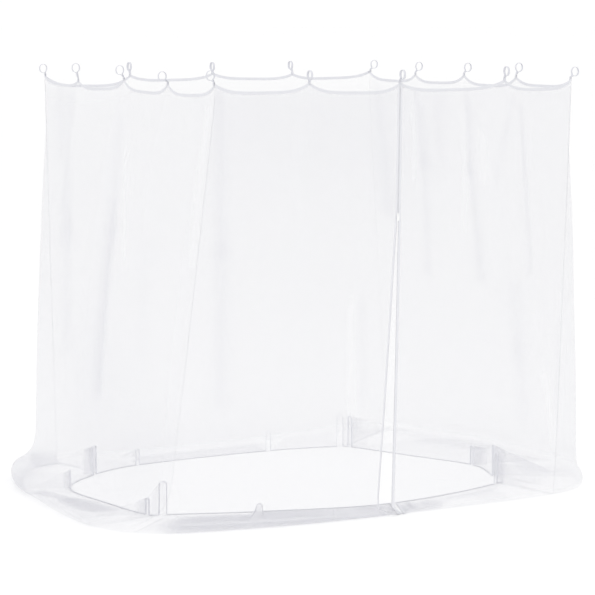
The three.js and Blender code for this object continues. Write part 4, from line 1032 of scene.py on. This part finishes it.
loop_rows = []
loop_sewn_out = LOOP_LEG_OUT + LOOP_TAPE_THICKNESS / 2 + THREAD_PROUD
for name, wall, along, _, _, sewn, lean, rise in LOOPS:
    at = np.mod(wall + along + sewn * CORNER_INSET / PANEL_WIDTH, WALLS)
    seat = top_point(np.array([at]))[0]
    seated = np.array([wall + along + sewn * CORNER_CLEAR / PANEL_WIDTH])
    seat[2] = top_point(seated)[0, 2] + EDGE_TO_SEAT
    out = WALL_OUT[int(at)]
    mesh = loop_mesh("tape_loop_" + name, seat, out, lean, rise)
    loop = add_piece("tape_loop_" + name, mesh, loop_finish)
    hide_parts("loop_" + name)
    across = np.cross(out, UP)
    reach = LOOP_TAPE_WIDTH / 2 - LOOP_TAPE_THICKNESS
    for face in (1, -1):
        for height in LEG_SEAMS:
            middle = seat + UP * height + out * face * loop_sewn_out
            line = np.array([middle - across * reach, middle + across * reach])
            loop_rows.append((line, np.array([out, out])))

# Stitches. White polyester thread in lockstitch along the corner seams, the bindings, the zip tapes and the
# legs of the loops.
THREAD_GRAIN = 400.0
THREAD_DARK = (0.80, 0.80, 0.83)
THREAD_PALE = (0.88, 0.88, 0.90)
thread_finish = grained_finish("sewing_thread", THREAD_GRAIN, THREAD_DARK, THREAD_PALE, roughness=0.7,
                               Specular_IOR_Level=0.25)
STITCH_PITCH = 0.004
LOOP_STITCH_PITCH = 0.0025
STITCH_HALF = (0.0003, 0.0003, 0.0015)
LOOP_STITCH_HALF = (0.0003, 0.0003, 0.0009)


def stitch(work, given):
    bead = work.node("GeometryNodeMeshIcoSphere", {"Radius": 1.0, "Subdivisions": 1})
    return work.node("GeometryNodeTransform", {"Geometry": bead, "Scale": given["Half size"]})


stitch_tree = row_tree("stitches", {"Pitch": "NodeSocketFloat", "Half size": "NodeSocketVector",
                                    "Finish": "NodeSocketMaterial"}, stitch)
zip_rows = []
zip_sewn_out = ZIP_TAPE_THICKNESS / 2 + THREAD_PROUD
zip_down = ROWS_DOWN[(ROWS_DOWN > COIL_ENDS[0]) & (ROWS_DOWN < COIL_ENDS[1])]
for step in (-1, 1):
    at = np.full(zip_down.shape, ZIP_PLACE + step * SEWN_SHARE * ZIP_TAPE_WIDTH / PANEL_WIDTH)
    normal = cloth_normal(at, zip_down)
    for face in (1, -1):
        zip_rows.append((cloth_point(at, zip_down) + normal * face * zip_sewn_out, normal))
seam_rows = []
seam_down = ROWS_DOWN[(ROWS_DOWN > LIP_ENDS[1]) & (ROWS_DOWN < LIP_ENDS[2])]
for corner in range(WALLS):
    inward = seam_inward(corner, seam_down)
    seam = cloth_point(np.full(seam_down.shape, corner), seam_down)
    seam_rows.append((seam + inward * LIP_DEPTH / 2, inward))
stitch_rows = {"seam": seam_rows, **binding_rows, "zip": zip_rows, "loop": loop_rows}
for rows, lines in stitch_rows.items():
    sizes = {"Pitch": STITCH_PITCH, "Half size": STITCH_HALF}
    if rows == "loop":
        sizes = {"Pitch": LOOP_STITCH_PITCH, "Half size": LOOP_STITCH_HALF}
    row_piece(rows + "_stitches", stitch_tree, lines, sizes, thread_finish)
